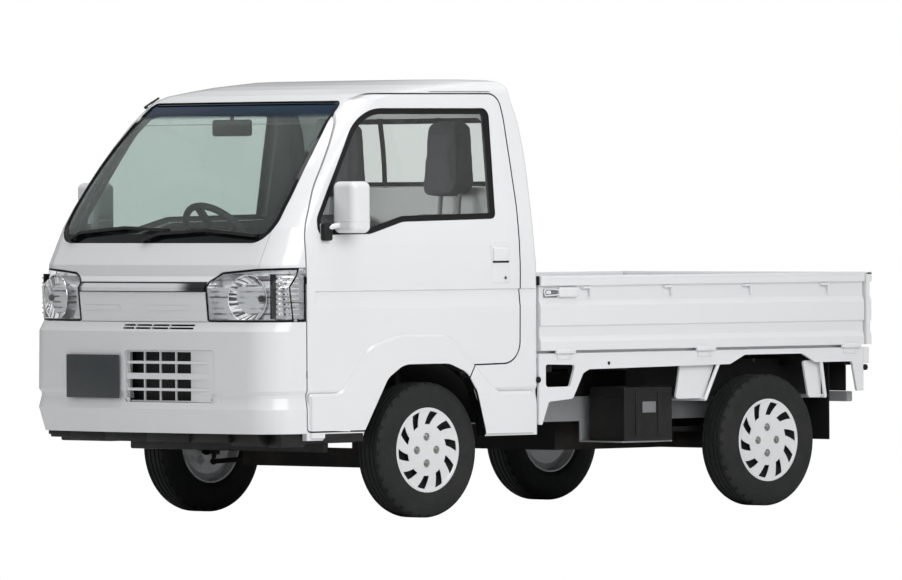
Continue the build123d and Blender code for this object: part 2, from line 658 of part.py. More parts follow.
# ================================================================ wheels
def wheel_parts(x, y, side):
    """Tyre, and rim with its cover, for the wheel at (x, y). Side is +1 on the left."""
    outward = Plane(origin=(x, y, TYRE_R), z_dir=(side, 0, 0), x_dir=(0, 0, 1))
    half = TYRE_W / 2
    tyre_rows = [
        (RIM_R, -half + BEAD_IN, 4.0),
        (TYRE_R - 62, -half, 40.0),
        (TYRE_R, -half + 12, 26.0),
        (TYRE_R, half - 12, 26.0),
        (TYRE_R - 62, half, 40.0),
        (RIM_R, half - BEAD_IN, 4.0),
    ]
    tyre_face = Plane.XZ * rounded(tyre_rows)
    tyre = revolve(tyre_face, axis=Axis.Z)
    w = RIM_W / 2
    rim_rows = [
        (RIM_R, -w + 10),
        (RIM_R, w - 6),
        (RIM_R - 6, w - 6),
        (RIM_R - 6, 24),
        (SPINDLE_R + RUNNING_GAP, 24),
        (SPINDLE_R + RUNNING_GAP, -24),
        (HUB_R + 76, -24),
        (HUB_R + 76, 14),
        (RIM_R - 6, 14),
        (RIM_R - 6, -w + 10),
    ]
    rim = revolve(Plane.XZ * make_face(Polyline(*rim_rows, close=True)), axis=Axis.Z)
    cover_rows = [
        (0, COVER_X - 12),
        (48, COVER_X - 12),
        (60, COVER_X - 4),
        (120, COVER_X),
        (COVER_R - 10, COVER_X - 2),
        (COVER_R, COVER_X - 6),
        (COVER_R, COVER_X - 9),
        (COVER_R - 11, COVER_X - 6),
        (120, COVER_X - 4),
        (62, COVER_X - 8),
        (50, COVER_X - 16),
        (0, COVER_X - 16),
    ]
    cover = revolve(Plane.XZ * make_face(Polyline(*cover_rows, close=True)), axis=Axis.Z)
    slots = 11
    slot_rows = ((104.0, -8.0), (138.0, -31.0), (145.0, -9.0), (119.0, 9.0))
    slot = extrude(make_face(Polyline(*slot_rows, close=True)), amount=60)
    for i in range(slots):
        cover = cover - Rot(0, 0, 360 * i / slots) * Pos(0, 0, COVER_X - 30) * slot
    post = Pos(0, 0, (24 + COVER_X - 16) / 2) * Cylinder(30, COVER_X - 16 - 24)
    place = outward
    return place * tyre, place * (rim + post + cover)


def wheels():
    """Four wheels, each a tyre and a rim with its cover."""
    for end, y in (("front", FRONT_AXLE_Y), ("rear", REAR_AXLE_Y)):
        for hand, side in (("left", 1), ("right", -1)):
            tyre, rim = wheel_parts(side * WHEEL_X, y, side)
            pieces[end + "_tyre_" + hand] = tyre
            pieces[end + "_wheel_" + hand] = rim


def kingpin():
    """Lower ball joint and the strut's top on the left, with the unit vector up between them."""
    low = Vector(WHEEL_X - KINGPIN_IN, FRONT_AXLE_Y, TYRE_R - KINGPIN_LOW)
    top = Vector(low.X - KINGPIN_LEAN, FRONT_AXLE_Y, SEAT_DECK_Z - PANEL_T)
    return low, top, (top - low).normalized()


SPRING_REACH = 470.0  # rear axle to each end of the leaf springs
STRUT_R = 20.0
STRUT_START = 150.0  # ball joint to the lower end of the strut
NOSE_RAIL_X = 328.0
NOSE_RAIL_Z = (350.0, 410.0)


def front_suspension():
    """Crossmember, lower arms and struts on the cab, and the knuckles that steer."""
    y = FRONT_AXLE_Y
    low, top, up = kingpin()
    outer = NOSE_RAIL_X + FRAME_W / 2
    inner = NOSE_RAIL_X - FRAME_W / 2
    beam = block((-outer, outer), (y - 40, y + 40), (195, 270))
    post = block((inner, outer), (y - 40, y + 40), (269, NOSE_RAIL_Z[0]))
    arm = rod((outer - 5, y, 220), (low.X, y, low.Z), 10.0)
    ball = Pos(low) * Sphere(BALL_R)
    strut = rod(tuple(low + up * STRUT_START), tuple(top + up * 20), STRUT_R)
    mount_top = block((top.X - 40, top.X + 40), (y - 40, y + 40), (top.Z - 12, top.Z))
    strut = (strut & block((0, HALF), (y - 100, y + 100), (0, top.Z))) + mount_top
    beam = beam + both_sides(post) + both_sides(arm + ball)
    pieces["front_suspension"] = Compound([beam, strut, mirrored(strut)])
    neck = rod(tuple(low + up * (BALL_R + JOINT_GAP)), tuple(low + up * 40), 9.0)
    upright = rod(tuple(low + up * 32), tuple(low + up * (STRUT_START - JOINT_GAP)), 22.0)
    at = low + up * (KINGPIN_LOW / up.Z)
    spindle = rod((at.X, y, TYRE_R), (WHEEL_X + 20, y, TYRE_R), SPINDLE_R)
    tie_arm = block((at.X - 12, at.X + 12), (y + 10, y + 110), (TYRE_R - 22, TYRE_R - 6))
    pair("knuckle", neck + upright + spindle + tie_arm)


def rear_suspension():
    """Rear axle with its spindles and spring pads, and the leaf springs that hang from the rails."""
    y = REAR_AXLE_Y
    pad_x = (RAIL_X + 30, RAIL_X + 100)
    leaf_x = (RAIL_X + 35, RAIL_X + 95)
    leaf_z = (TYRE_R + 38, TYRE_R + 58)
    tube = rod((-WHEEL_X + 70, y, TYRE_R), (WHEEL_X - 70, y, TYRE_R), 38.0)
    spindle = rod((WHEEL_X - 80, y, TYRE_R), (WHEEL_X + 20, y, TYRE_R), SPINDLE_R)
    pad = block(pad_x, (y - 60, y + 60), (TYRE_R - 50, leaf_z[0]))
    pieces["rear_axle"] = tube + both_sides(spindle + pad)
    leaf = block(leaf_x, (y - SPRING_REACH, y + SPRING_REACH), leaf_z)
    for end in (-1, 1):
        hanger_y = y + end * (SPRING_REACH + 7)
        hanger = block((RAIL_X + FRAME_W / 2, leaf_x[1]), (hanger_y - 12, hanger_y + 12),
                       (TYRE_R + 30, FRAME_Z + FRAME_H - 10))
        leaf = leaf + hanger
    pieces["leaf_springs"] = Compound(both_sides(leaf))


wheels()
front_suspension()
rear_suspension()


# ================================================================ chassis and what hangs on it
BATTERY_X = (480.0, 690.0)
BATTERY_Y = (BED_Y + 505.0, BED_Y + 775.0)
BATTERY_Z = (281.0, 500.0)
MUFFLER_Y = REAR_AXLE_Y + 330.0
MUFFLER_Z = 300.0
MUFFLER_R = 60.0


ENGINE_END_Y = REAR_AXLE_Y - 140.0


def chassis():
    """Frame rails, the crossmembers between them and the bearers that carry the bed."""
    x0, x1 = RAIL_X - FRAME_W / 2, RAIL_X + FRAME_W / 2
    nx0, nx1 = NOSE_RAIL_X - FRAME_W / 2, NOSE_RAIL_X + FRAME_W / 2
    z0, z1 = FRAME_Z, FRAME_Z + FRAME_H
    neck_y = (CAB_BACK_Y - 215, CAB_BACK_Y - 155)
    rear = TAIL_Y - 60
    rail = block((x0, x1), (neck_y[0], rear), (z0, z1))
    nose_rail = block((nx0, nx1), (NOSE_Y + 100, neck_y[1]), NOSE_RAIL_Z)
    neck = block((nx0, x1), neck_y, (z0, NOSE_RAIL_Z[1]))
    side = rail + nose_rail + neck
    tray_z = (BATTERY_Z[0] - JOINT_GAP - 6, BATTERY_Z[0] - JOINT_GAP)
    tray_y = (BATTERY_Y[0] - 6, BATTERY_Y[1] + 6)
    tray = block((x1 - 5, BATTERY_X[1] - 10), tray_y, tray_z)
    tray = tray + block((x1 - 5, x1 + 1), tray_y, (tray_z[0], z0 + 20))
    pieces["frame_rails"] = Compound([side + tray, mirrored(side)])
    members = [
        block((-nx0, nx0), (NOSE_Y + 110, NOSE_Y + 170), NOSE_RAIL_Z),
        block((-nx0, nx0), neck_y, (z0, NOSE_RAIL_Z[1])),
    ]
    for y in (BED_Y + 420, ENGINE_END_Y + JOINT_GAP + 30, MUFFLER_Y, rear - 30):
        members.append(block((-x0, x0), (y - 30, y + 30), (z1 - 60, z1)))
    hanger_z = (MUFFLER_Z + MUFFLER_R + JOINT_GAP, z1 - 59)
    for x in (-220.0, 90.0):
        hanger = block((x - 15, x + 15), (MUFFLER_Y - 25, MUFFLER_Y + 25), hanger_z)
        members[-2] = members[-2] + hanger
    pieces["crossmembers"] = Compound(members)
    top = LOAD_Z - FLOOR_T
    bearers = []
    for y in (BED_Y + 70, BED_Y + 500, REAR_AXLE_Y - 300, REAR_AXLE_Y + 250, GATE_END_Y - 60):
        beam = block((-FLOOR_X, FLOOR_X), (y - 22, y + 22), (top - BEARER_H, top))
        bearers.append(beam + both_sides(block((x0, x1), (y - 22, y + 22), (z1, top - BEARER_H + 1))))
    pieces["bed_bearers"] = Compound(bearers)


def under_boxes():
    """Battery box, engine block, fuel tank and muffler below the bed."""
    box = block(BATTERY_X, BATTERY_Y, BATTERY_Z)
    pieces["battery_box"] = fillet(box.edges(), 8.0)
    pieces["engine_block"] = block((-300, 300), (BED_Y + 485, ENGINE_END_Y), (240, LOAD_Z - FLOOR_T - BEARER_H - 10))
    tank = block((-690, -RAIL_X - FRAME_W / 2 - JOINT_GAP), (BED_Y + 240, BED_Y + 780), (290, 500))
    tank = fillet(tank.edges(), 30.0)
    pieces["fuel_tank"] = tank
    pieces["muffler"] = rod((-330, MUFFLER_Y, MUFFLER_Z), (200, MUFFLER_Y, MUFFLER_Z), MUFFLER_R)


chassis()
under_boxes()

# ================================================================ bed
# Lower edge of the side sill over the rear wheel. Columns: distance behind the rear axle, height, radius.
ARCH_PLATE = (
    (-235.0, 585.0, 20.0),
    (-150.0, 622.0, 30.0),
    (180.0, 622.0, 30.0),
    (260.0, 585.0, 20.0),
    (470.0, 585.0, 10.0),
)


def load_floor():
    """Flat load floor with shallow drain grooves along it."""
    floor = block((-FLOOR_X, FLOOR_X), (BED_Y + 34, GATE_END_Y), (LOAD_Z - FLOOR_T, LOAD_Z))
    pitch = 105.0
    count = 13
    for i in range(count):
        x = (i - (count - 1) / 2) * pitch
        floor = floor - block((x - 9, x + 9), (BED_Y + 60, GATE_END_Y - 30), (LOAD_Z - 4, LOAD_Z + 1))
    pieces["load_floor"] = floor
    pieces["headboard"] = block((-FLOOR_X, FLOOR_X), (BED_Y + 4, BED_Y + 34), (LOAD_Z - FLOOR_T, RAIL_Z - 8))


def side_sills():
    """Bed side sills with the front legs, the rear arches and the corner posts."""
    rows = [
        (BED_Y - 5, SILL_TOP_Z, 2.0),
        (BED_Y - 5, 358.0, 6.0),
        (BED_Y + 11, 358.0, 6.0),
        (BED_Y + 49, 450.0, 12.0),
        (BED_Y + 182, 460.0, 20.0),
        (BED_Y + 240, 562.0, 16.0),
        (BED_Y + 274, SILL_Z, 16.0),
    ]
    rows = rows + [(REAR_AXLE_Y + u, z, r) for u, z, r in ARCH_PLATE]
    rows = rows + [(TAIL_Y - 80, 463.0, 10.0), (TAIL_Y - 42, 463.0, 6.0), (GATE_END_Y, SILL_TOP_Z, 2.0)]
    x1 = HALF - 10.0
    plate = side_prism(rounded(rows), (x1 - SILL_T, x1))
    hole = rounded([
        (BED_Y + 32, 600.0, 10.0),
        (BED_Y + 196, 596.0, 10.0),
        (BED_Y + 166, 509.0, 14.0),
        (BED_Y + 32, 509.0, 14.0),
    ])
    plate = plate - side_prism(hole, (x1 - SILL_T - 1, x1 + 1))
    flange = block((FLOOR_X, x1 - SILL_T + 1), (BED_Y + 40, GATE_END_Y), (LOAD_Z - FLOOR_T, SILL_TOP_Z))
    solid = plate + flange
    side_x = x1 - SILL_T + STAY_R / 2
    for top_y, foot_y in STAY_PLACES:
        top = (side_x, REAR_AXLE_Y + top_y, 592.0)
        foot = (side_x, REAR_AXLE_Y + foot_y, 445.0)
        inner = (RAIL_X + FRAME_W / 2, REAR_AXLE_Y + foot_y, 445.0)
        solid = solid + rod(top, foot, STAY_R) + Pos(foot) * Sphere(STAY_R) + rod(foot, inner, STAY_R)
    pieces["side_sills"] = Compound(both_sides(solid))


def gate_profile(depth):
    """Cross-section of a gate as (depth from its outer face, height) points, outer face at zero."""
    return [
        (0.0, RAIL_Z), (0.0, RAIL_Z - 36), (4.0, RAIL_Z - 36), (14.0, RAIL_Z - 44),
        (14.0, RAIL_Z - 96), (4.0, RAIL_Z - 118), (4.0, RAIL_Z - 196), (12.0, RAIL_Z - 202),
        (12.0, RAIL_Z - 240), (4.0, RAIL_Z - 262), (4.0, GATE_FOOT_Z), (depth, GATE_FOOT_Z), (depth, RAIL_Z),
    ]


HINGE_PLACES = (0.067, 0.5, 0.951)  # along the gate from its front end
HINGE_LEN = 44.0
LUG_LEN = 20.0


def side_gates():
    """Drop sides, hinged along their lower outer edges."""
    profile = [(HALF - u, z) for u, z in gate_profile(GATE_T)]
    gate = front_prism(make_face(Polyline(*profile, close=True)), (BED_Y, GATE_END_Y))
    barrels = []
    span = GATE_END_Y - BED_Y
    for place in HINGE_PLACES:
        y = BED_Y + span * place
        barrel = rod((HINGE_X, y - HINGE_LEN / 2, HINGE_Z), (HINGE_X, y + HINGE_LEN / 2, HINGE_Z), HINGE_R)
        web = block((HALF - 10.0, HINGE_X), (y - HINGE_LEN / 2, y + HINGE_LEN / 2), (HINGE_Z - 9, HINGE_Z - 2))
        barrels.append(barrel + web)
        for sign in (-1, 1):
            start = y + sign * (HINGE_LEN / 2 + 0.5)
            stop = start + sign * LUG_LEN
            low, high = min(start, stop), max(start, stop)
            lug = rod((HINGE_X, low, HINGE_Z), (HINGE_X, high, HINGE_Z), HINGE_R)
            lug = lug + block((HINGE_X - HINGE_R, HALF - 4), (low, high), (HINGE_Z, GATE_FOOT_Z + 1))
            gate = gate + lug
    pair("side_gate", gate)
    hinge = Compound(barrels)
    pieces["gate_hinges"] = Compound([hinge, mirrored(hinge)])


def tail_gate():
    """Tail gate across the whole width, hinged along its lower rear edge."""
    profile = [(TAIL_Y - u, z) for u, z in gate_profile(GATE_T)]
    face = make_face(Polyline(*profile, close=True))
    gate = side_prism(face, (-HALF, HALF))
    barrels = []
    for x in (-520.0, 0.0, 520.0):
        barrel = rod((x - HINGE_LEN / 2, TAIL_HINGE_Y, HINGE_Z), (x + HINGE_LEN / 2, TAIL_HINGE_Y, HINGE_Z), HINGE_R)
        web = block((x - HINGE_LEN / 2, x + HINGE_LEN / 2), (TAIL_Y - 10.0, TAIL_HINGE_Y), (HINGE_Z - 9, HINGE_Z - 2))
        barrels.append(barrel + web)
        for sign in (-1, 1):
            start = x + sign * (HINGE_LEN / 2 + 0.5)
            stop = start + sign * LUG_LEN
            low, high = min(start, stop), max(start, stop)
            lug = rod((low, TAIL_HINGE_Y, HINGE_Z), (high, TAIL_HINGE_Y, HINGE_Z), HINGE_R)
            lug = lug + block((low, high), (TAIL_HINGE_Y - HINGE_R, TAIL_Y - 4), (HINGE_Z, GATE_FOOT_Z + 1))
            gate = gate + lug
    pieces["tail_gate"] = gate
    pieces["gate_hinges"] = Compound(pieces["gate_hinges"].solids() + barrels)
    sill = block((-HALF + 10, HALF - 10), (GATE_END_Y + 1, TAIL_Y - 10.0), (SILL_Z, SILL_TOP_Z))
    lamp_room = block((RAIL_X + 90, HALF - 60), (GATE_END_Y + 20, TAIL_Y), (SILL_Z - 1, SILL_TOP_Z - 12))
    pieces["rear_sill"] = sill - both_sides(lamp_room)
    lamp = block((RAIL_X + 91, HALF - 61), (GATE_END_Y + 20.5, TAIL_Y - 6), (SILL_Z + 1, SILL_TOP_Z - 13))
    pieces["tail_lamps"] = Compound(both_sides(lamp))


PLATE_T = 2.0
GUARD_X = (-175.0, 175.0)
GUARD_W = 18.0
FLAP_T = 5.0
STAY_R = 8.0
STAY_PLACES = ((-293.0, -371.0), (295.0, 318.0))  # top and foot, from the rear axle

# Wipers, seen from the front. Columns: distance from the middle, height.
WIPER_ROWS = (
    ((-545.0, 1112.0), (-480.0, 1140.0), (-200.0, 1160.0), (60.0, 1150.0)),
    ((-60.0, 1108.0), (30.0, 1135.0), (300.0, 1150.0), (560.0, 1128.0)),
)


def number_plates():
    """Blank plates on the bumper and below the tail gate."""
    x, z = sum(PLATE_X) / 2, sum(PLATE_Z) / 2
    size = (PLATE_X[1] - PLATE_X[0], PLATE_Z[1] - PLATE_Z[0])
    face = Pos(x, z) * RectangleRounded(size[0], size[1], 8.0)
    sheet = skin_sheet(-JOINT_GAP - PLATE_T, -JOINT_GAP)
    front = sheet & front_prism(face, (NOSE_Y - 20, NOSE_Y + 120))
    face = Pos(0, SILL_Z - size[1] / 2 - 8.0) * RectangleRounded(size[0], size[1], 8.0)
    rear = front_prism(face, (TAIL_Y - 14.0 - PLATE_T, TAIL_Y - 14.0))
    pieces["number_plates"] = Compound([front, rear])
    bracket = block((-60, 60), (TAIL_Y - 20.0, TAIL_Y - 14.0 - PLATE_T), (SILL_Z - 40, SILL_Z + 1))
    pieces["rear_sill"] = pieces["rear_sill"] + bracket


guard_sheet = skin_sheet(-10.0, 0.0)


def window_guards():
    """Flat upright guard bars over the rear window."""
    z = (BACK_WINDOW_Z[0] - 26, BACK_WINDOW_Z[1] + 28)
    bars = []
    for x in GUARD_X:
        reach = block((x - GUARD_W / 2, x + GUARD_W / 2), (CAB_BACK_Y - 160, CAB_BACK_Y + 20), z)
        bars.append(guard_sheet & reach)
    pieces["window_guards"] = Compound(bars)


def wiper(rows):
    """A strip that lies just off the windscreen, from (x, height) points along its middle."""
    half = 6.0
    outline = [(x, z + half) for x, z in rows] + [(x, z - half) for x, z in reversed(rows)]
    face = make_face(Polyline(*outline, close=True))
    return skin_sheet(-14.0, GLASS_RECESS - JOINT_GAP) & front_prism(face, FRONT_REACH)


def wipers():
    """Two wipers parked along the foot of the windscreen."""
    pieces["wipers"] = Compound([wiper(rows) for rows in WIPER_ROWS])


def mud_flaps():
    """Rubber flaps behind the rear wheels."""
    y = REAR_AXLE_Y + 360.0
    flap = block((577.0, FLOOR_X), (y, y + FLAP_T), (265.0, LOAD_Z - FLOOR_T))
    pieces["mud_flaps"] = Compound(both_sides(flap))


load_floor()
side_sills()
side_gates()
tail_gate()
number_plates()
window_guards()
wipers()
mud_flaps()

for name, shape in pieces.items():
    export_step(shape, "parts/" + name + ".step")
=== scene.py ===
"""Looks of the small drop-side truck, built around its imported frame."""

from __future__ import annotations

import logging
import math
from dataclasses import dataclass
from enum import Enum
from typing import Any, Sequence

import bmesh
import bpy
from mathutils import Matrix, Vector

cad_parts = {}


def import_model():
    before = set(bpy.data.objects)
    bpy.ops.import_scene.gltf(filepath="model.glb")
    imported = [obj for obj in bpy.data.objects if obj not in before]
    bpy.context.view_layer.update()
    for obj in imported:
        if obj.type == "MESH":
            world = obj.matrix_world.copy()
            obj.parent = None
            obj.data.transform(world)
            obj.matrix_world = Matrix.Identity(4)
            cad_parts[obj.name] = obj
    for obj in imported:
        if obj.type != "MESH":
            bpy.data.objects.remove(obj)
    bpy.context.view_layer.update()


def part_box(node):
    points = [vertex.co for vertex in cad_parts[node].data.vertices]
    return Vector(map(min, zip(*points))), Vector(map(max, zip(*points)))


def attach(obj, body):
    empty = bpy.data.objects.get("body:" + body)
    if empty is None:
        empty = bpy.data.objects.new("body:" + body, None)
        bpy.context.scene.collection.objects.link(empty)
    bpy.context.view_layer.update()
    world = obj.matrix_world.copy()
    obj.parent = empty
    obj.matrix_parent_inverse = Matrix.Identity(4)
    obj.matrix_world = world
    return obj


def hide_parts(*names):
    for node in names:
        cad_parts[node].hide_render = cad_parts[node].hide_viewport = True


LOG = logging.getLogger("truck")
Point = tuple[float, float, float]
Value = Any

NOSE = -1.6975  # front of the truck along Y
TAIL = 1.6975
SKIN = 0.7275  # the cab's side from the middle
HALF = 0.7375


class Axis(Enum):
    """A direction along one axis of the truck."""

    X = Vector((1.0, 0.0, 0.0))
    Y = Vector((0.0, 1.0, 0.0))
    Z = Vector((0.0, 0.0, 1.0))
    FRONT = Vector((0.0, -1.0, 0.0))


# ---------------------------------------------------------------- shader building
class Wire:
    """A shader socket that takes part in arithmetic."""

    def __init__(self, graph: "Graph", socket: bpy.types.NodeSocket) -> None:
        self.graph = graph
        self.socket = socket

    def __add__(self, other: Value) -> "Wire":
        return self.graph.math("ADD", self, other)

    def __sub__(self, other: Value) -> "Wire":
        return self.graph.math("SUBTRACT", self, other)

    def __rsub__(self, other: Value) -> "Wire":
        return self.graph.math("SUBTRACT", other, self)

    def __mul__(self, other: Value) -> "Wire":
        return self.graph.math("MULTIPLY", self, other)

    def __truediv__(self, other: Value) -> "Wire":
        return self.graph.math("DIVIDE", self, other)

    __radd__ = __add__
    __rmul__ = __mul__

    def size(self) -> "Wire":
        """The value without its sign."""
        return self.graph.math("ABSOLUTE", self)

    def wave(self) -> "Wire":
        """The sine of the value."""
        return self.graph.math("SINE", self)

    def ramp(self, low: float, high: float) -> "Wire":
        """Rises smoothly from 0 at low to 1 at high.

        Args:
            low: Value where the ramp starts.
            high: Value where the ramp ends.

        Returns:
            The ramp, between 0 and 1.
        """
        sockets = {"Value": self, "From Min": low, "From Max": high}
        return self.graph.node("ShaderNodeMapRange", sockets, interpolation_type="SMOOTHSTEP")


class Graph:
    """A shader node tree under construction."""

    def __init__(self, tree: bpy.types.NodeTree) -> None:
        tree.nodes.clear()
        self.tree = tree

    def node(self, kind: str, sockets: dict | None = None, out: int | str = 0, **fields: Value) -> Wire:
        """Add one node.

        Args:
            kind: Type name of the node.
            sockets: Values or wires for its inputs.
            out: The output to return.
            **fields: Settings of the node.

        Returns:
            A wire from the chosen output.
        """
        made = self.tree.nodes.new(kind)
        for key, value in fields.items():
            setattr(made, key, value)
        for key, value in (sockets or {}).items():
            if isinstance(value, Wire):
                self.tree.links.new(value.socket, made.inputs[key])
            else:
                made.inputs[key].default_value = value
        return Wire(self, made.outputs[out]) if made.outputs else Wire(self, made.inputs[0])

    def math(self, operation: str, *values: Value) -> Wire:
        """Arithmetic on one, two or three values."""
        return self.node("ShaderNodeMath", dict(enumerate(values)), operation=operation)

    def mix(self, factor: Value, first: Value, second: Value) -> Wire:
        """Blend two colours by a factor."""
        sockets = {0: factor, 6: opaque(first), 7: opaque(second)}
        return self.node("ShaderNodeMix", sockets, out=2, data_type="RGBA")

    def point(self) -> Wire:
        """The place on the object, in metres."""
        return self.node("ShaderNodeTexCoord", out="Object")

    def along(self, axis: str) -> Wire:
        """One coordinate of the place on the object."""
        return self.node("ShaderNodeSeparateXYZ", {0: self.point()}, out=axis)

    def noise(self, size: float, detail: float = 2.0, stretch: Point = (1.0, 1.0, 1.0)) -> Wire:
        """Cloudy noise.

        Args:
            size: Width of its features in metres.
            detail: Octaves of finer noise.
            stretch: Scale of the place along each axis.

        Returns:
            The noise, around 0.5.
        """
        place = self.node("ShaderNodeMapping", {"Vector": self.point(), "Scale": stretch})
        return self.node("ShaderNodeTexNoise", {"Vector": place, "Scale": 1.0 / size, "Detail": detail})


def opaque(color: Value) -> Value:
    """A colour with full opacity, or the wire as it is."""
    return color if isinstance(color, Wire) else (*color[:3], 1.0)


@dataclass(frozen=True)
class Finish:
    """A surface: its colour, gloss, grain, dirt and worn edges."""

    name: str
    color: Point
    roughness: float = 0.4
    metallic: float = 0.0
    coat: float = 0.0
    grain: float = 0.0008  # width of the surface's grain
    depth: float = 0.00002  # height of the grain
    blotch: float = 0.06  # how much the colour varies
    uneven: float = 0.10  # how much the roughness varies
    dirt: float = 0.0
    wear: float = 0.15
    worn: Point = (0.62, 0.63, 0.64)
    edge: float = 0.0015  # radius that softens the edges
    gloss: float = 0.5  # strength of the reflection seen straight on

    def height(self, graph: Graph) -> Wire:
        """Height of the surface's own relief, in metres."""
        return graph.noise(self.grain, 2.0) * self.depth

    def tone(self, graph: Graph) -> Wire:
        """Colour of the clean surface."""
        shade = tuple(part * (1.0 - 2.0 * self.blotch) for part in self.color)
        return graph.mix(graph.noise(0.23, 4.0), self.color, shade)

    def build(self) -> bpy.types.Material:
        """Make the material, or return the one already made.

        Returns:
            The finished material.
        """
        title = f"{self.name}_finish"
        made = bpy.data.materials.get(title)
        if made is not None:
            return made
        made = bpy.data.materials.new(title)
        made.use_nodes = True
        graph = Graph(made.node_tree)
        round_normal = graph.node("ShaderNodeBevel", {"Radius": self.edge}, samples=4)
        flat_normal = graph.node("ShaderNodeNewGeometry", out="Normal")
        facing = graph.node("ShaderNodeVectorMath", {0: round_normal, 1: flat_normal}, "Value",
                            operation="DOT_PRODUCT")
        edges = (1.0 - facing).ramp(0.03, 0.25) * graph.noise(0.012, 3.0).ramp(0.42, 0.62)
        grime = graph.noise(0.16, 6.0).ramp(0.40, 0.75) * (1.0 - graph.along("Z")).ramp(0.15, 0.85)
        color = graph.mix(edges * self.wear, self.tone(graph), self.worn)
        color = graph.mix(grime * self.dirt, color, (0.16, 0.13, 0.10))
        rough = (graph.noise(0.05, 4.0) - 0.5) * (2.0 * self.uneven) + self.roughness
        rough = (rough + grime * (0.5 * self.dirt) + edges * (0.3 * self.wear)).ramp(0.0, 1.0)
        bump = {"Strength": 1.0, "Distance": 1.0, "Height": self.height(graph), "Normal": round_normal}
        sockets = {
            "Base Color": color,
            "Roughness": rough,
            "Metallic": self.metallic,
            "Specular IOR Level": self.gloss,
            "Coat Weight": self.coat,
            "Coat Roughness": 0.05,
            "Normal": graph.node("ShaderNodeBump", bump),
        }
        shader = self.shade(graph, sockets)
        graph.node("ShaderNodeOutputMaterial", {"Surface": shader})
        return made

    def shade(self, graph: Graph, sockets: dict) -> Wire:
        """The shader, from the sockets that build() worked out."""
        return graph.node("ShaderNodeBsdfPrincipled", sockets)


@dataclass(frozen=True)
class PaintWithShade(Finish):
    """Paint outside, with a darker second colour on the faces that look into the cab, as painted shade."""

    # painted shade on the faces that look into the cab
    inner: Point = (0.034, 0.035, 0.038)
    core: Point = (0.0, -0.98, 1.02)  # a point inside the cab
    axle: Point = (0.0, -0.7805, 0.270)
    arch: float = 0.44  # reach of the wheel arch from the axle

    def tone(self, graph: Graph) -> Wire:
        """Clean colour on either side of the wall, with painted shade inside the cab and in the wheel arch.
        """
        away = graph.node("ShaderNodeVectorMath", {0: graph.point(), 1: self.core}, operation="SUBTRACT")
        normal = graph.node("ShaderNodeTexCoord", out="Normal")
        outward = graph.node("ShaderNodeVectorMath", {0: away, 1: normal}, "Value", operation="DOT_PRODUCT")
        flat = graph.node("ShaderNodeVectorMath", {0: graph.point(), 1: self.axle}, operation="SUBTRACT")
        flat = graph.node("ShaderNodeVectorMath", {0: flat, 1: (0.0, 1.0, 1.0)}, operation="MULTIPLY")
        reach = graph.node("ShaderNodeVectorMath", {0: flat}, "Value", operation="LENGTH")
        ray = graph.node("ShaderNodeVectorMath", {0: flat}, operation="NORMALIZE")
        toward = graph.node("ShaderNodeVectorMath", {0: ray, 1: normal}, "Value", operation="DOT_PRODUCT")
        # painted shade: faces in the wheel arch that look towards the axle turn near-black
        arch_shade = (0.0 - toward).ramp(0.55, 0.65) * (self.arch - reach).ramp(0.0, 0.005)
        arch_shade = arch_shade * (SKIN + 0.006 - graph.along("X").size()).ramp(0.0, 0.002)
        # painted shade: faces that look into the cab take the inner colour
        color = graph.mix(outward.ramp(-0.10, -0.09), self.inner, super().tone(graph))
        return graph.mix(arch_shade, color, (0.006, 0.006, 0.006))


@dataclass(frozen=True)
class Cloth(Finish):
    """Woven cloth."""

    pitch: float = 0.0022

    def height(self, graph: Graph) -> Wire:
        """Crossing threads."""
        turn = 2.0 * math.pi / self.pitch
        across = (graph.along("X") * turn).wave()
        along = ((graph.along("Y") + graph.along("Z")) * turn).wave()
        return across * along * 0.00018 + graph.noise(0.004, 3.0) * 0.0001

    def tone(self, graph: Graph) -> Wire:
        """Darker thread crossings."""
        turn = 2.0 * math.pi / self.pitch
        check = ((graph.along("X") * turn).wave() * (graph.along("Z") * turn).wave()).ramp(-0.4, 0.6)
        pale = tuple(part * 1.5 for part in self.color)
        return graph.mix(check, super().tone(graph), pale)


@dataclass(frozen=True)
class Ribbed(Finish):
    """A surface with fine ribs along one axis."""

    axis: str = "X"
    pitch: float = 0.012
    rise: float = 0.0008

    def height(self, graph: Graph) -> Wire:
        """Rounded ribs."""
        turn = 2.0 * math.pi / self.pitch
        return (graph.along(self.axis) * turn).wave() * self.rise + super().height(graph)


@dataclass(frozen=True)
class Rubber(Finish):
    """Tyre rubber with paler dust in its grain."""

    def tone(self, graph: Graph) -> Wire:
        """Dust in the sidewall's grain."""
        dusty = graph.noise(0.03, 6.0).ramp(0.45, 0.8) * 0.2
        return graph.mix(dusty, super().tone(graph), (0.040, 0.039, 0.037))


@dataclass(frozen=True)
class Reflector(Finish):
    """Bright plating with dark streaks of painted reflection that fan out from the bulb on each side."""

    bulb: tuple[float, float] = (0.640, 0.880)
    fans: float = 7.0

    def tone(self, graph: Graph) -> Wire:
        """Painted reflection: bright and dark rays."""
        across = graph.along("X").size() - self.bulb[0]
        up = graph.along("Z") - self.bulb[1]
        angle = graph.math("ARCTAN2", up, across)
        place = graph.node("ShaderNodeCombineXYZ", {0: angle * self.fans, 1: across * 5.0})
        rays = graph.node("ShaderNodeTexNoise", {"Vector": place, "Scale": 1.6, "Detail": 3.0})
        return graph.mix(rays.ramp(0.46, 0.55), self.color, (0.025, 0.026, 0.028))


@dataclass(frozen=True)
class Barred(Finish):
    """Bright plating behind a lens, with level bars of painted reflection."""

    pitch: float = 0.022

    def tone(self, graph: Graph) -> Wire:
        """Painted reflection: level bars, broken up by noise."""
        wave = (graph.along("Z") * (2.0 * math.pi / self.pitch)).wave().ramp(0.2, 0.9)
        return graph.mix(wave * graph.noise(0.06, 1.0).ramp(0.40, 0.62), self.color, (0.12, 0.12, 0.125))


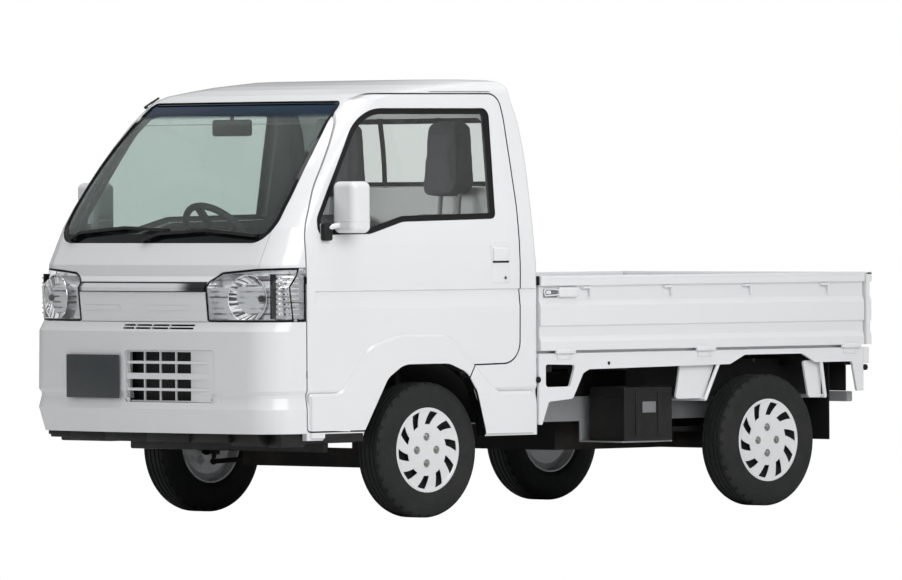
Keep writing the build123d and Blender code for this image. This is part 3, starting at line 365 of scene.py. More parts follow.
@dataclass(frozen=True)
class Brightwork(Finish):
    """A plated bar with painted reflection, dark towards its ends and along its top and bottom edges."""

    dark_from: float = 0.19
    dark_to: float = 0.32
    top: float = 0.9385

    def tone(self, graph: Graph) -> Wire:
        """Painted reflection: bright in the middle, dark at the ends."""
        x = graph.along("X")
        # painted reflection: darker towards both ends and along the top and bottom edges
        ends = x.ramp(self.dark_from, self.dark_to) + (0.0 - x).ramp(0.34, 0.378)
        upper = graph.along("Z").ramp(self.top, self.top + 0.003)
        edges = upper + (0.911 - graph.along("Z")).ramp(0.0, 0.003)
        return graph.mix((ends + edges).ramp(0.0, 1.0), self.color, (0.03, 0.03, 0.032))


@dataclass(frozen=True)
class Shade(Finish):
    """A dark band across the top of the glass that fades out downwards."""

    foot: float = 1.588
    full: float = 1.618

    def shade(self, graph: Graph, sockets: dict) -> Wire:
        """Tinted film that thins out below."""
        sockets["Alpha"] = graph.along("Z").ramp(self.foot, self.full) * 0.94
        return graph.node("ShaderNodeBsdfPrincipled", sockets)


@dataclass(frozen=True)
class Glass(Finish):
    """Clear or tinted glass with a little smear."""

    ior: float = 1.45
    gloss: float = 0.25

    def shade(self, graph: Graph, sockets: dict) -> Wire:
        """Refracting glass."""
        sockets.pop("Normal")
        sockets.update({"Transmission Weight": 1.0, "IOR": self.ior})
        sockets["Base Color"] = opaque(self.color)
        sockets["Roughness"] = graph.noise(0.4, 3.0).ramp(0.5, 0.9) * self.roughness
        return graph.node("ShaderNodeBsdfPrincipled", sockets)


class Paint(Enum):
    """Every finish on the truck."""

    # BODY, SHELL and PLASTIC carry painted shade on their inner faces and in the wheel arch; SHELL's is
    # lighter.
    BODY = PaintWithShade("white_paint", (0.78, 0.79, 0.80), 0.28, coat=0.6, depth=0.000003, blotch=0.006,
                   uneven=0.03, dirt=0.03, wear=0.05)
    SHELL = PaintWithShade("white_panel", (0.78, 0.79, 0.80), 0.28, coat=0.6, depth=0.000003, blotch=0.006,
                    uneven=0.03, dirt=0.03, wear=0.05, inner=(0.50, 0.51, 0.51))
    PLASTIC = PaintWithShade("white_plastic", (0.77, 0.78, 0.79), 0.32, coat=0.4, depth=0.000004, blotch=0.006,
                      uneven=0.04, dirt=0.03, wear=0.05)
    TRIMMED = Finish("white_moulding", (0.77, 0.78, 0.79), 0.32, coat=0.4, depth=0.000004, blotch=0.006,
                     uneven=0.04, dirt=0.03, wear=0.05)
    BED = Finish("bed_paint", (0.77, 0.78, 0.79), 0.32, coat=0.4, depth=0.000004, blotch=0.004, uneven=0.04,
                 dirt=0.03, wear=0.05)
    COVER = Finish("cover_silver", (0.72, 0.73, 0.74), 0.34, 0.05, 0.3, depth=0.000002, blotch=0.003,
                   uneven=0.01, dirt=0.0, wear=0.01)
    TYRE = Rubber("tyre_rubber", (0.020, 0.022, 0.022), 0.62, grain=0.0015, depth=0.00012, wear=0.1,
                  worn=(0.04, 0.04, 0.04), dirt=0.06, gloss=0.2)
    RUBBER = Finish("soft_rubber", (0.010, 0.010, 0.0105), 0.6, depth=0.00004, wear=0.2,
                    worn=(0.04, 0.04, 0.04), edge=0.001, gloss=0.2)
    BLACK = Finish("black_plastic", (0.010, 0.010, 0.0105), 0.46, grain=0.0012, depth=0.00008, wear=0.15,
                   worn=(0.04, 0.04, 0.04), dirt=0.08, gloss=0.3)
    FRIT = Finish("glass_border", (0.006, 0.007, 0.008), 0.16, depth=0.000002, wear=0.0, edge=0.0003,
                  gloss=0.25)
    GREY = Finish("grey_plastic", (0.20, 0.205, 0.21), 0.45, grain=0.001, depth=0.00006, dirt=0.1)
    TRIM = Finish("interior_plastic", (0.009, 0.009, 0.010), 0.55, grain=0.0014, depth=0.00010, wear=0.1,
                  worn=(0.03, 0.03, 0.03), gloss=0.12)
    MAT = Ribbed("floor_mat", (0.030, 0.030, 0.032), 0.75, pitch=0.02, rise=0.0010, dirt=0.3)
    CLOTH = Cloth("seat_cloth", (0.045, 0.046, 0.050), 0.85, wear=0.0, edge=0.0005)
    FRAME = Finish("frame_paint", (0.34, 0.35, 0.36), 0.5, depth=0.00005, blotch=0.08, dirt=0.5, wear=0.5,
                   worn=(0.2, 0.16, 0.13))
    STEEL = Finish("dark_steel", (0.014, 0.014, 0.015), 0.55, 0.3, grain=0.003, depth=0.0002, blotch=0.2,
                   dirt=0.3, wear=0.3, worn=(0.08, 0.06, 0.045), gloss=0.3)
    CHROME = Finish("bright_plating", (0.80, 0.81, 0.83), 0.10, 1.0, depth=0.000002, blotch=0.02, uneven=0.04,
                    wear=0.0)
    MIRROR = Finish("silvering", (0.86, 0.88, 0.88), 0.02, 1.0, depth=0.0, blotch=0.01, uneven=0.01, wear=0.0)
    # painted reflection in the lamp shell's colour
    BOWL = Barred("lamp_shell", (0.80, 0.81, 0.83), 0.24, 0.7, blotch=0.03, uneven=0.04, wear=0.0)
    # painted reflection in the lamp reflector's colour
    FAN = Reflector("lamp_reflector", (0.92, 0.93, 0.94), 0.16, 0.8, depth=0.000002, blotch=0.02, wear=0.0)
    # painted reflection in the bar's colour
    BAR = Brightwork("plated_bar", (0.86, 0.87, 0.88), 0.16, 0.7, depth=0.000002, blotch=0.02, uneven=0.03,
                     wear=0.0)
    GLASS = Glass("clear_glass", (0.80, 0.83, 0.815), 0.05)
    SCREEN = Glass("screen_glass", (0.50, 0.605, 0.57), 0.05, gloss=0.06)
    TINT = Shade("shaded_film", (0.004, 0.022, 0.050), 0.10, depth=0.0, blotch=0.1, wear=0.0, edge=0.0003,
                 gloss=0.15)
    LENS = Glass("lamp_lens", (0.97, 0.98, 0.98), 0.08, ior=1.49)
    AMBER = Finish("amber_lens", (0.85, 0.22, 0.02), 0.18, coat=0.8, depth=0.00001)
    RED = Ribbed("red_lens", (0.42, 0.012, 0.012), 0.16, coat=0.8, pitch=0.008, rise=0.0003)
    DARK_PLATE = Finish("blank_plate", (0.045, 0.052, 0.055), 0.42, 0.1, depth=0.00001, wear=0.1,
                        worn=(0.12, 0.12, 0.12))
    SHADOW = Finish("dark_cavity", (0.006, 0.006, 0.006), 0.8, wear=0.0)
    BOLT = Finish("zinc_bolt", (0.42, 0.42, 0.40), 0.35, 0.9, grain=0.001, depth=0.00003, blotch=0.12,
                  dirt=0.3)


# ---------------------------------------------------------------- mesh building
class Form:
    """A mesh under construction."""

    def __init__(self) -> None:
        self.bm = bmesh.new()

    def slab(self, low: Point, high: Point, radius: float = 0.002, segments: int = 2) -> "Form":
        """Add a block with rounded edges.

        Args:
            low: Lowest corner.
            high: Highest corner.
            radius: Radius of the edges.
            segments: Faces across each rounded edge.

        Returns:
            The form itself.
        """
        span = Vector(high) - Vector(low)
        middle = (Vector(high) + Vector(low)) / 2.0
        place = Matrix.Translation(middle) @ Matrix.Diagonal((*span, 1.0))
        made = bmesh.ops.create_cube(self.bm, size=1.0, matrix=place)["verts"]
        edges = {edge for vert in made for edge in vert.link_edges}
        bmesh.ops.bevel(self.bm, geom=list(edges), offset=min(radius, min(span) * 0.45), segments=segments,
                        profile=0.5, affect="EDGES", material=-1)
        return self

    def lathe(self, rows: Sequence[tuple[float, float]], centre: Point, axis: Vector,
              steps: int = 48) -> "Form":
        """Spin a profile of (radius, height) rows round an axis through the centre."""
        side = axis.orthogonal().normalized()
        points = [Vector(centre) + side * radius + axis * height for radius, height in rows]
        verts = [self.bm.verts.new(point) for point in points]
        edges = [self.bm.edges.new(pair) for pair in zip(verts, verts[1:])]
        before = set(self.bm.verts)
        bmesh.ops.spin(self.bm, geom=verts + edges, cent=centre, axis=axis, angle=2.0 * math.pi, steps=steps,
                       use_merge=True)
        fresh = verts + [vert for vert in self.bm.verts if vert not in before]
        bmesh.ops.remove_doubles(self.bm, verts=fresh, dist=0.00001)
        faces = [face for face in self.bm.faces if face.is_valid]
        bmesh.ops.recalc_face_normals(self.bm, faces=faces)
        return self

    def pin(self, start: Point, end: Point, radius: float, soft: float = 0.0008, steps: int = 20) -> "Form":
        """Add a round pin with softened ends between two points."""
        axis = (Vector(end) - Vector(start))
        length = axis.length
        soft = min(soft, radius * 0.4, length * 0.3)
        rows = [(0.0, 0.0), (radius - soft, 0.0), (radius, soft), (radius, length - soft),
                (radius - soft, length), (0.0, length)]
        return self.lathe(rows, start, axis.normalized(), steps)

    def tube(self, points: Sequence[Point], radius: float, steps: int = 12) -> "Form":
        """Add a round bar that follows the points, with a ball at each bend."""
        for start, end in zip(points, points[1:]):
            self.pin(start, end, radius, steps=steps)
        for point in points[1:-1]:
            bmesh.ops.create_uvsphere(self.bm, u_segments=steps, v_segments=8, radius=radius,
                                      matrix=Matrix.Translation(point))
        return self

    def bolt(self, at: Point, axis: Vector, across: float = 0.012, rise: float = 0.006) -> "Form":
        """Add a six-sided bolt head with a washer under it."""
        self.lathe([(0.0, 0.0), (across * 0.75, 0.0), (across * 0.75, 0.0012), (0.0, 0.0012)], at, axis, 20)
        rows = [(across * 0.5, 0.0), (across * 0.5, rise * 0.8), (across * 0.42, rise), (0.0, rise)]
        return self.lathe(rows, at, axis, 6)

    def patch(self, node: str, outward: Vector, lean: float = 0.35) -> "Form":
        """Add the faces of a CAD node that look along a direction."""
        source = bmesh.new()
        source.from_mesh(bpy.data.objects[node].data)
        away = [face for face in source.faces if face.normal.dot(outward) < lean]
        bmesh.ops.delete(source, geom=away, context="FACES")
        bmesh.ops.remove_doubles(source, verts=source.verts, dist=0.00002)
        mesh = bpy.data.meshes.new("patch")
        source.to_mesh(mesh)
        source.free()
        self.bm.from_mesh(mesh)
        bpy.data.meshes.remove(mesh)
        return self

    def only(self, point: Point, normal: Point) -> "Form":
        """Keep what lies ahead of a plane."""
        geom = self.bm.verts[:] + self.bm.edges[:] + self.bm.faces[:]
        bmesh.ops.bisect_plane(self.bm, geom=geom, dist=0.00001, plane_co=point, plane_no=normal,
                               clear_inner=True)
        return self

    def rim(self, width: float) -> "Form":
        """Keep only a border of the given width round an open sheet."""
        bmesh.ops.recalc_face_normals(self.bm, faces=self.bm.faces)
        inner = self.bm.faces[:]
        made = bmesh.ops.inset_region(self.bm, faces=inner, thickness=width, depth=0.0, use_boundary=True,
                                      use_even_offset=True)
        keep = set(made["faces"])
        bmesh.ops.delete(self.bm, geom=[face for face in self.bm.faces if face not in keep], context="FACES")
        return self

    def lift(self, shift: Vector, thickness: float = 0.0006) -> "Form":
        """Move a sheet off what it lies on and give it a thickness."""
        bmesh.ops.translate(self.bm, verts=self.bm.verts, vec=shift)
        bmesh.ops.solidify(self.bm, geom=self.bm.faces[:], thickness=thickness)
        return self

    def both_sides(self) -> "Form":
        """Add the mirror image on the other side of the truck."""
        geom = self.bm.verts[:] + self.bm.edges[:] + self.bm.faces[:]
        bmesh.ops.mirror(self.bm, geom=geom, axis="X", merge_dist=-1.0)
        bmesh.ops.recalc_face_normals(self.bm, faces=self.bm.faces)
        return self

    def flipped(self) -> "Form":
        """A copy on the other side of the truck."""
        other = Form()
        other.bm = self.bm.copy()
        bmesh.ops.scale(other.bm, verts=other.bm.verts, vec=(-1.0, 1.0, 1.0))
        bmesh.ops.reverse_faces(other.bm, faces=other.bm.faces)
        return other

    def place(self, name: str, paint: Paint, body: str = "truck_body",
              smooth: float = 32.0) -> bpy.types.Object:
        """Make the object and let it move with a body.

        Args:
            name: Name of the object.
            paint: Its finish.
            body: The CAD body it moves with.
            smooth: Edges sharper than this angle stay sharp.

        Returns:
            The object.
        """
        mesh = bpy.data.meshes.new(name)
        self.bm.to_mesh(mesh)
        self.bm.free()
        mesh.polygons.foreach_set("use_smooth", [True] * len(mesh.polygons))
        mesh.set_sharp_from_angle(angle=math.radians(smooth))
        mesh.materials.append(paint.value.build())
        made = bpy.data.objects.new(name, mesh)
        bpy.context.scene.collection.objects.link(made)
        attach(made, body)
        return made


def on_both(name: str, form: Form, paint: Paint, body: str) -> list[bpy.types.Object]:
    """Place a left piece and its mirror image on the left and right bodies."""
    other = form.flipped()
    return [form.place(f"{name}_left", paint, f"{body}_left"),
            other.place(f"{name}_right", paint, f"{body}_right")]


def mid(node: str) -> Vector:
    """Middle of a CAD node's box."""
    low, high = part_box(node)
    return (Vector(low) + Vector(high)) / 2.0


# ---------------------------------------------------------------- sub-assemblies
class Part:
    """A sub-assembly that dresses its CAD nodes and adds what they carry."""

    finishes: dict[str, Paint] = {}

    def build(self) -> None:
        """Give the nodes their finishes, then add the details."""
        for node, paint in self.finishes.items():
            mesh = bpy.data.objects[node].data
            mesh.materials.clear()
            mesh.materials.append(paint.value.build())
        self.details()

    def details(self) -> None:
        """Add the meshes that the CAD nodes carry."""


@dataclass
class Glazing(Part):
    """Window glass with its black borders and rubber seals."""

    border: float = 0.020
    cowl_top: float = 1.134
    shade_foot: float = 1.580
    seal: float = 0.023

    finishes = {"windscreen": Paint.SCREEN, "rear_window": Paint.GLASS, "door_glass_left": Paint.GLASS,
                "door_glass_right": Paint.GLASS}

    def details(self) -> None:
        """Add the borders, the dark cowl and the shade band."""
        front = Axis.FRONT.value
        border = Form().patch("windscreen", front).rim(self.border).lift(front * 0.0012)
        border.place("screen_border", Paint.FRIT)
        cowl = Form().patch("windscreen", front).only((0.0, 0.0, self.cowl_top), (0.0, 0.0, -1.0))
        cowl.lift(front * 0.0009).place("screen_cowl", Paint.FRIT)
        shade = Form().patch("windscreen", front).only((0.0, 0.0, self.shade_foot), (0.0, 0.0, 1.0))
        shade.lift(front * 0.0007).place("screen_shade", Paint.TINT)
        back = Axis.Y.value
        seal = Form().patch("rear_window", back).rim(0.022).lift(back * 0.0015, 0.002)
        seal.place("rear_seal", Paint.RUBBER)
        for side, way in (("left", Axis.X.value), ("right", -Axis.X.value)):
            node = f"door_glass_{side}"
            seal = Form().patch(node, way).rim(self.seal).lift(way * 0.0025, 0.002)
            seal.place(f"window_seal_{side}", Paint.RUBBER, f"door_{side}")


@dataclass
class CabSkin(Part):
    """Outer panels of the cab, the front face and the antenna."""

    finishes = {"front_panel": Paint.BODY, "front_corners": Paint.BODY, "side_frames": Paint.BODY,
                "roof_panel": Paint.SHELL, "back_panel": Paint.SHELL, "front_bumper": Paint.PLASTIC,
                "front_garnish": Paint.TRIMMED, "garnish_bar": Paint.BAR, "bumper_grille": Paint.TRIMMED,
                "wipers": Paint.BLACK, "window_guards": Paint.BLACK, "number_plates": Paint.DARK_PLATE}

    def details(self) -> None:
        """Add the pieces on the face, the roof and the wipers."""
        self.antenna()
        self.plates()
        self.pressed_lines()
        self.valance()
        self.wiper_caps()

    def antenna(self) -> None:
        """Rod antenna folded down along the far roof corner."""
        rod = Form().tube([(-0.600, -1.120, 1.642), (-0.596, -1.085, 1.662), (-0.592, -1.048, 1.681)], 0.0042)
        rod.pin((-0.5995, -1.118, 1.640), (-0.5985, -1.106, 1.648), 0.0065, 0.002)
        rod.place("antenna", Paint.BLACK)

    def plates(self) -> None:
        """Blank plates, front and rear, as flat bevelled sheets."""
        form = Form().slab((-0.171, -0.0045, -0.0865), (0.171, 0.0045, 0.0865), 0.004, 3)
        turn = Matrix.Translation((-0.264, NOSE + 0.0030, 0.570)) @ Matrix.Rotation(-0.063, 4, "Z")
        bmesh.ops.transform(form.bm, matrix=turn, verts=form.bm.verts)
        rear = [vert.co for vert in bpy.data.objects["number_plates"].data.vertices if vert.co.y > 0.0]
        low = [min(point[axis] for point in rear) for axis in range(3)]
        high = [max(point[axis] for point in rear) for axis in range(3)]
        made = form.slab(low, high, 0.003, 3).place("plates", Paint.DARK_PLATE)
        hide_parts("number_plates")
        fill = Form().slab((-0.083, NOSE + 0.012, 0.460), (-0.056, NOSE + 0.026, 0.490), 0.003)
        fill.slab((0.420, NOSE + 0.030, 0.460), (0.460, NOSE + 0.046, 0.506), 0.003)
        for x in (-0.019, 0.077, 0.179):
            crown = x * x / 8.4
            fill.slab((x - 0.003, NOSE + 0.0115 + crown, 0.7585), (x + 0.003, NOSE + 0.030, 0.7665), 0.001)
            fill.slab((x - 0.003, NOSE + 0.0195 + crown, 0.7705), (x + 0.003, NOSE + 0.034, 0.7785), 0.001)
        fill.place("grille_corners", Paint.PLASTIC)

    def pressed_lines(self) -> None:
        """Two raised lines across the panel between the lamps."""
        front = Axis.FRONT.value
        for name, x0, x1 in (("near", 0.029, 0.281), ("far", -0.349, -0.121)):
            line = Form().patch("front_garnish", front)
            for point, normal in (((x0, 0.0, 0.0), (1.0, 0.0, 0.0)), ((x1, 0.0, 0.0), (-1.0, 0.0, 0.0)),
                                  ((0.0, 0.0, 0.834), (0.0, 0.0, 1.0)),
                                  ((0.0, 0.0, 0.853), (0.0, 0.0, -1.0))):
                line.only(point, normal)
            line.lift(front * 0.0026, 0.0025).place(f"garnish_line_{name}", Paint.TRIMMED)

    def valance(self) -> None:
        """Dark air dam under the bumper."""
        rows = [(-0.70, 0.235, 0.330), (-0.62, 0.125, 0.330), (-0.47, 0.068, 0.322), (-0.25, 0.045, 0.314),
                (0.0, 0.036, 0.312), (0.25, 0.045, 0.312), (0.47, 0.068, 0.314), (0.62, 0.125, 0.300),
                (0.70, 0.235, 0.296)]
        form = Form()
        for (x0, y0, z0), (x1, y1, z1) in zip(rows, rows[1:]):
            form.slab((x0 - 0.002, NOSE + min(y0, y1) + 0.018, min(z0, z1)),
                      (x1 + 0.002, NOSE + max(y0, y1) + 0.034, 0.350), 0.004)
        for side in (-1.0, 1.0):
            x0, x1 = sorted((side * 0.34, side * 0.645))
            form.slab((x0, NOSE + 0.16, 0.306), (x1, NOSE + 0.590, 0.350), 0.006)
            x0, x1 = sorted((side * 0.640, side * (HALF + 0.0012)))
            form.slab((x0, NOSE + 0.340, 0.312), (x1, NOSE + 0.545, 0.3475), 0.004)
        form.slab((-0.560, NOSE + 0.455, 0.268), (0.600, NOSE + 0.485, 0.335), 0.006)
        form.place("valance", Paint.BLACK)

    def wiper_caps(self) -> None:
        """Pivot caps where the wipers leave the cowl."""
        form = Form()
        for x, z in ((-0.520, 1.122), (-0.030, 1.118)):
            y = screen_y(x, z)
            form.pin((x, y + 0.004, z), (x, y - 0.016, z), 0.013, 0.003)
        form.place("wiper_caps", Paint.BLACK)


def screen_y(x: float, z: float) -> float:
    """Where a line along Y meets the windscreen."""
    node = bpy.data.objects["windscreen"]
    hit, place, _, _ = node.ray_cast(Vector((x, NOSE - 0.5, z)), Vector((0.0, 1.0, 0.0)))
    return place.y if hit else NOSE + 0.12


@dataclass
class Doors(Part):
    """Side doors with their handles, mirrors and inner trim."""

    handle_y: tuple[float, float] = (NOSE + 1.251, NOSE + 1.350)
    handle_z: tuple[float, float] = (0.929, 1.084)

    finishes = {"door_left": Paint.BODY, "door_right": Paint.BODY, "door_mirror_left": Paint.TRIMMED,
                "door_mirror_right": Paint.TRIMMED, "door_hinges": Paint.STEEL}

    def details(self) -> None:
        """Add the handles, the mirror glass and the inner trim to both doors."""
        self.handles()
        self.mirrors()
        self.cards()

    def handles(self) -> None:
        """Handle plate with its flap, the key's escutcheon, and painted shade in the flap's gap and the
        keyhole.
        """
        y0, y1 = self.handle_y
        z0, z1 = self.handle_z
        plate = Form().slab((SKIN - 0.006, y0, z0), (SKIN + 0.0025, y1, z1), 0.004, 3)
        plate.slab((SKIN, y0 + 0.006, z1 - 0.066), (SKIN + 0.011, y1 - 0.004, z1 - 0.012), 0.006, 3)
        on_both("door_handle", plate, Paint.TRIMMED, "door")
        # painted shade: dark pieces in the gap under the flap and in the keyhole
        flap_shade = Form().slab((SKIN, y0 + 0.006, z1 - 0.074), (SKIN + 0.0032, y1 - 0.004, z1 - 0.066), 0.001)
        key = (SKIN + 0.0035, y1 - 0.025, 0.949)
        flap_shade.pin((SKIN, key[1], key[2]), key, 0.0045)
        on_both("handle_shade", flap_shade, Paint.SHADOW, "door")
        lock = Form().lathe([(0.0045, 0.0), (0.009, 0.0), (0.009, 0.003), (0.0045, 0.004)],
                            (SKIN + 0.0005, key[1], key[2]), Axis.X.value, 24)
        on_both("door_lock", lock, Paint.CHROME, "door")

    def mirrors(self) -> None:
        """Silvered glass in the rear face of each mirror, with its dark surround."""
        low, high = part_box("door_mirror_left")
        y = high[1]
        inner, outer = high[0] - 0.116, high[0] - 0.012
        z0, z1 = high[2] - 0.190, high[2] - 0.014
        on_both("mirror_bezel", Form().slab((inner, y - 0.012, z0), (outer, y + 0.0015, z1), 0.014, 3),
                Paint.BLACK, "door")
        glass = Form().slab((inner + 0.007, y - 0.010, z0 + 0.007), (outer - 0.007, y + 0.0024, z1 - 0.007),
                            0.012, 3)
        on_both("mirror_glass", glass, Paint.MIRROR, "door")
        bead = []
        for step in range(21):
            turn = math.radians(90.0 * (step // 5) + 18.0 * (step % 5))
            shift = ((1.0, 1.0), (-1.0, 1.0), (-1.0, -1.0), (1.0, -1.0))[step // 5 % 4]
            bead.append((SKIN + 0.043 + shift[0] * 0.038 + 0.0262 * math.cos(turn),
                         NOSE + 0.461 + shift[1] * 0.026 + 0.0262 * math.sin(turn), 1.184))
        on_both("mirror_bead", Form().tube(bead, 0.0022, 8), Paint.TRIMMED, "door")
        foot = Form().slab((SKIN - 0.012, NOSE + 0.3405, 1.1055), (SKIN + 0.0155, NOSE + 0.3875, 1.1745),
                           0.008, 3)
        on_both("mirror_foot", foot, Paint.BLACK, "door")

    def cards(self) -> None:
        """Inner trim with an armrest, a pull and a window winder."""
        x = SKIN - 0.045
        card = Form().slab((x - 0.010, NOSE + 0.40, 0.62), (x - 0.0005, NOSE + 1.33, 1.09), 0.006)
        card.slab((x - 0.050, NOSE + 0.74, 0.90), (x - 0.008, NOSE + 1.12, 0.945), 0.014, 4)
        card.pin((x - 0.008, NOSE + 0.62, 0.86), (x - 0.028, NOSE + 0.62, 0.86), 0.016, 0.003)
        card.tube([(x - 0.026, NOSE + 0.62, 0.86), (x - 0.034, NOSE + 0.70, 0.82)], 0.007)
        on_both("door_card", card, Paint.TRIM, "door")


@dataclass
class Lamps(Part):
    """Headlamps behind clear lenses, and the tail lamps."""

    bulb: Point = (0.574, NOSE + 0.095, 0.880)

    finishes = {"headlamp_lenses": Paint.LENS, "headlamp_housings": Paint.BOWL, "tail_lamps": Paint.RED}

    def details(self) -> None:
        """Add bowls, bulbs, borders and the tail lamps' clear zones."""
        front = Axis.FRONT.value
        border = Form().patch("headlamp_lenses", front, 0.15).rim(0.007).lift(front * 0.0006)
        border.place("lamp_border", Paint.FRIT)
        self.bowls()
        low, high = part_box("tail_lamps")
        form = Form()
        clear = Form()
        for side in (-1.0, 1.0):
            outer = side * high[0]
            x0, x1 = sorted((outer, outer - side * 0.060))
            form.slab((x0 + 0.002, high[1] - 0.004, low[2] + 0.002),
                      (x1 - 0.002, high[1] + 0.0012, high[2] - 0.002), 0.001)
            x0, x1 = sorted((outer - side * 0.130, outer - side * 0.178))
            clear.slab((x0, high[1] - 0.004, low[2] + 0.002), (x1, high[1] + 0.0012, high[2] - 0.002), 0.001)
        form.place("tail_signals", Paint.AMBER)
        clear.place("reversing_lamps", Paint.GREY)

    def bowls(self) -> None:
        """Bowl, bulb cap and divider in each headlamp, and the bars of its signal zone."""
        x, y, z = self.bulb
        axis = Vector((0.20, -0.98, 0.0)).normalized()
        bowl = Form().lathe([(0.013, -0.026), (0.040, -0.020), (0.066, -0.008), (0.083, 0.006),
                             (0.091, 0.014), (0.094, 0.014), (0.086, 0.002), (0.068, -0.013),
                             (0.041, -0.024), (0.013, -0.030), (0.013, -0.026)],
                            (x, y, z), axis, 72)
        bowl.only((0.0, 0.0, 0.7935), (0.0, 0.0, 1.0))
        cap = Form().lathe([(0.0, 0.010), (0.008, 0.009), (0.013, 0.003), (0.014, -0.010), (0.0, -0.010)],
                           (x + 0.056, y + 0.010, z), axis, 32)
        ring = Form().lathe([(0.0915, 0.0145), (0.0945, 0.0155), (0.0955, 0.0125), (0.0915, 0.0115),
                             (0.0915, 0.0145)], (x, y, z), axis, 72)
        ring.only((0.0, 0.0, 0.7935), (0.0, 0.0, 1.0))
        wall = Form().slab((0.681, NOSE + 0.106, 0.800), (0.684, NOSE + 0.135, 0.975), 0.001)
        bars = Form()
        for step in range(8):
            height = 0.818 + 0.020 * step
            bars.slab((0.690, NOSE + 0.124, height - 0.0035), (0.714, NOSE + 0.232, height + 0.0035), 0.002)
        bowl.both_sides().place("lamp_bowls", Paint.FAN)
        cap.both_sides().place("bulb_caps", Paint.STEEL)
        ring.both_sides().place("lamp_rings", Paint.CHROME)
        wall.both_sides().place("lamp_walls", Paint.SHADOW)
        bars.both_sides().place("signal_bars", Paint.CHROME)


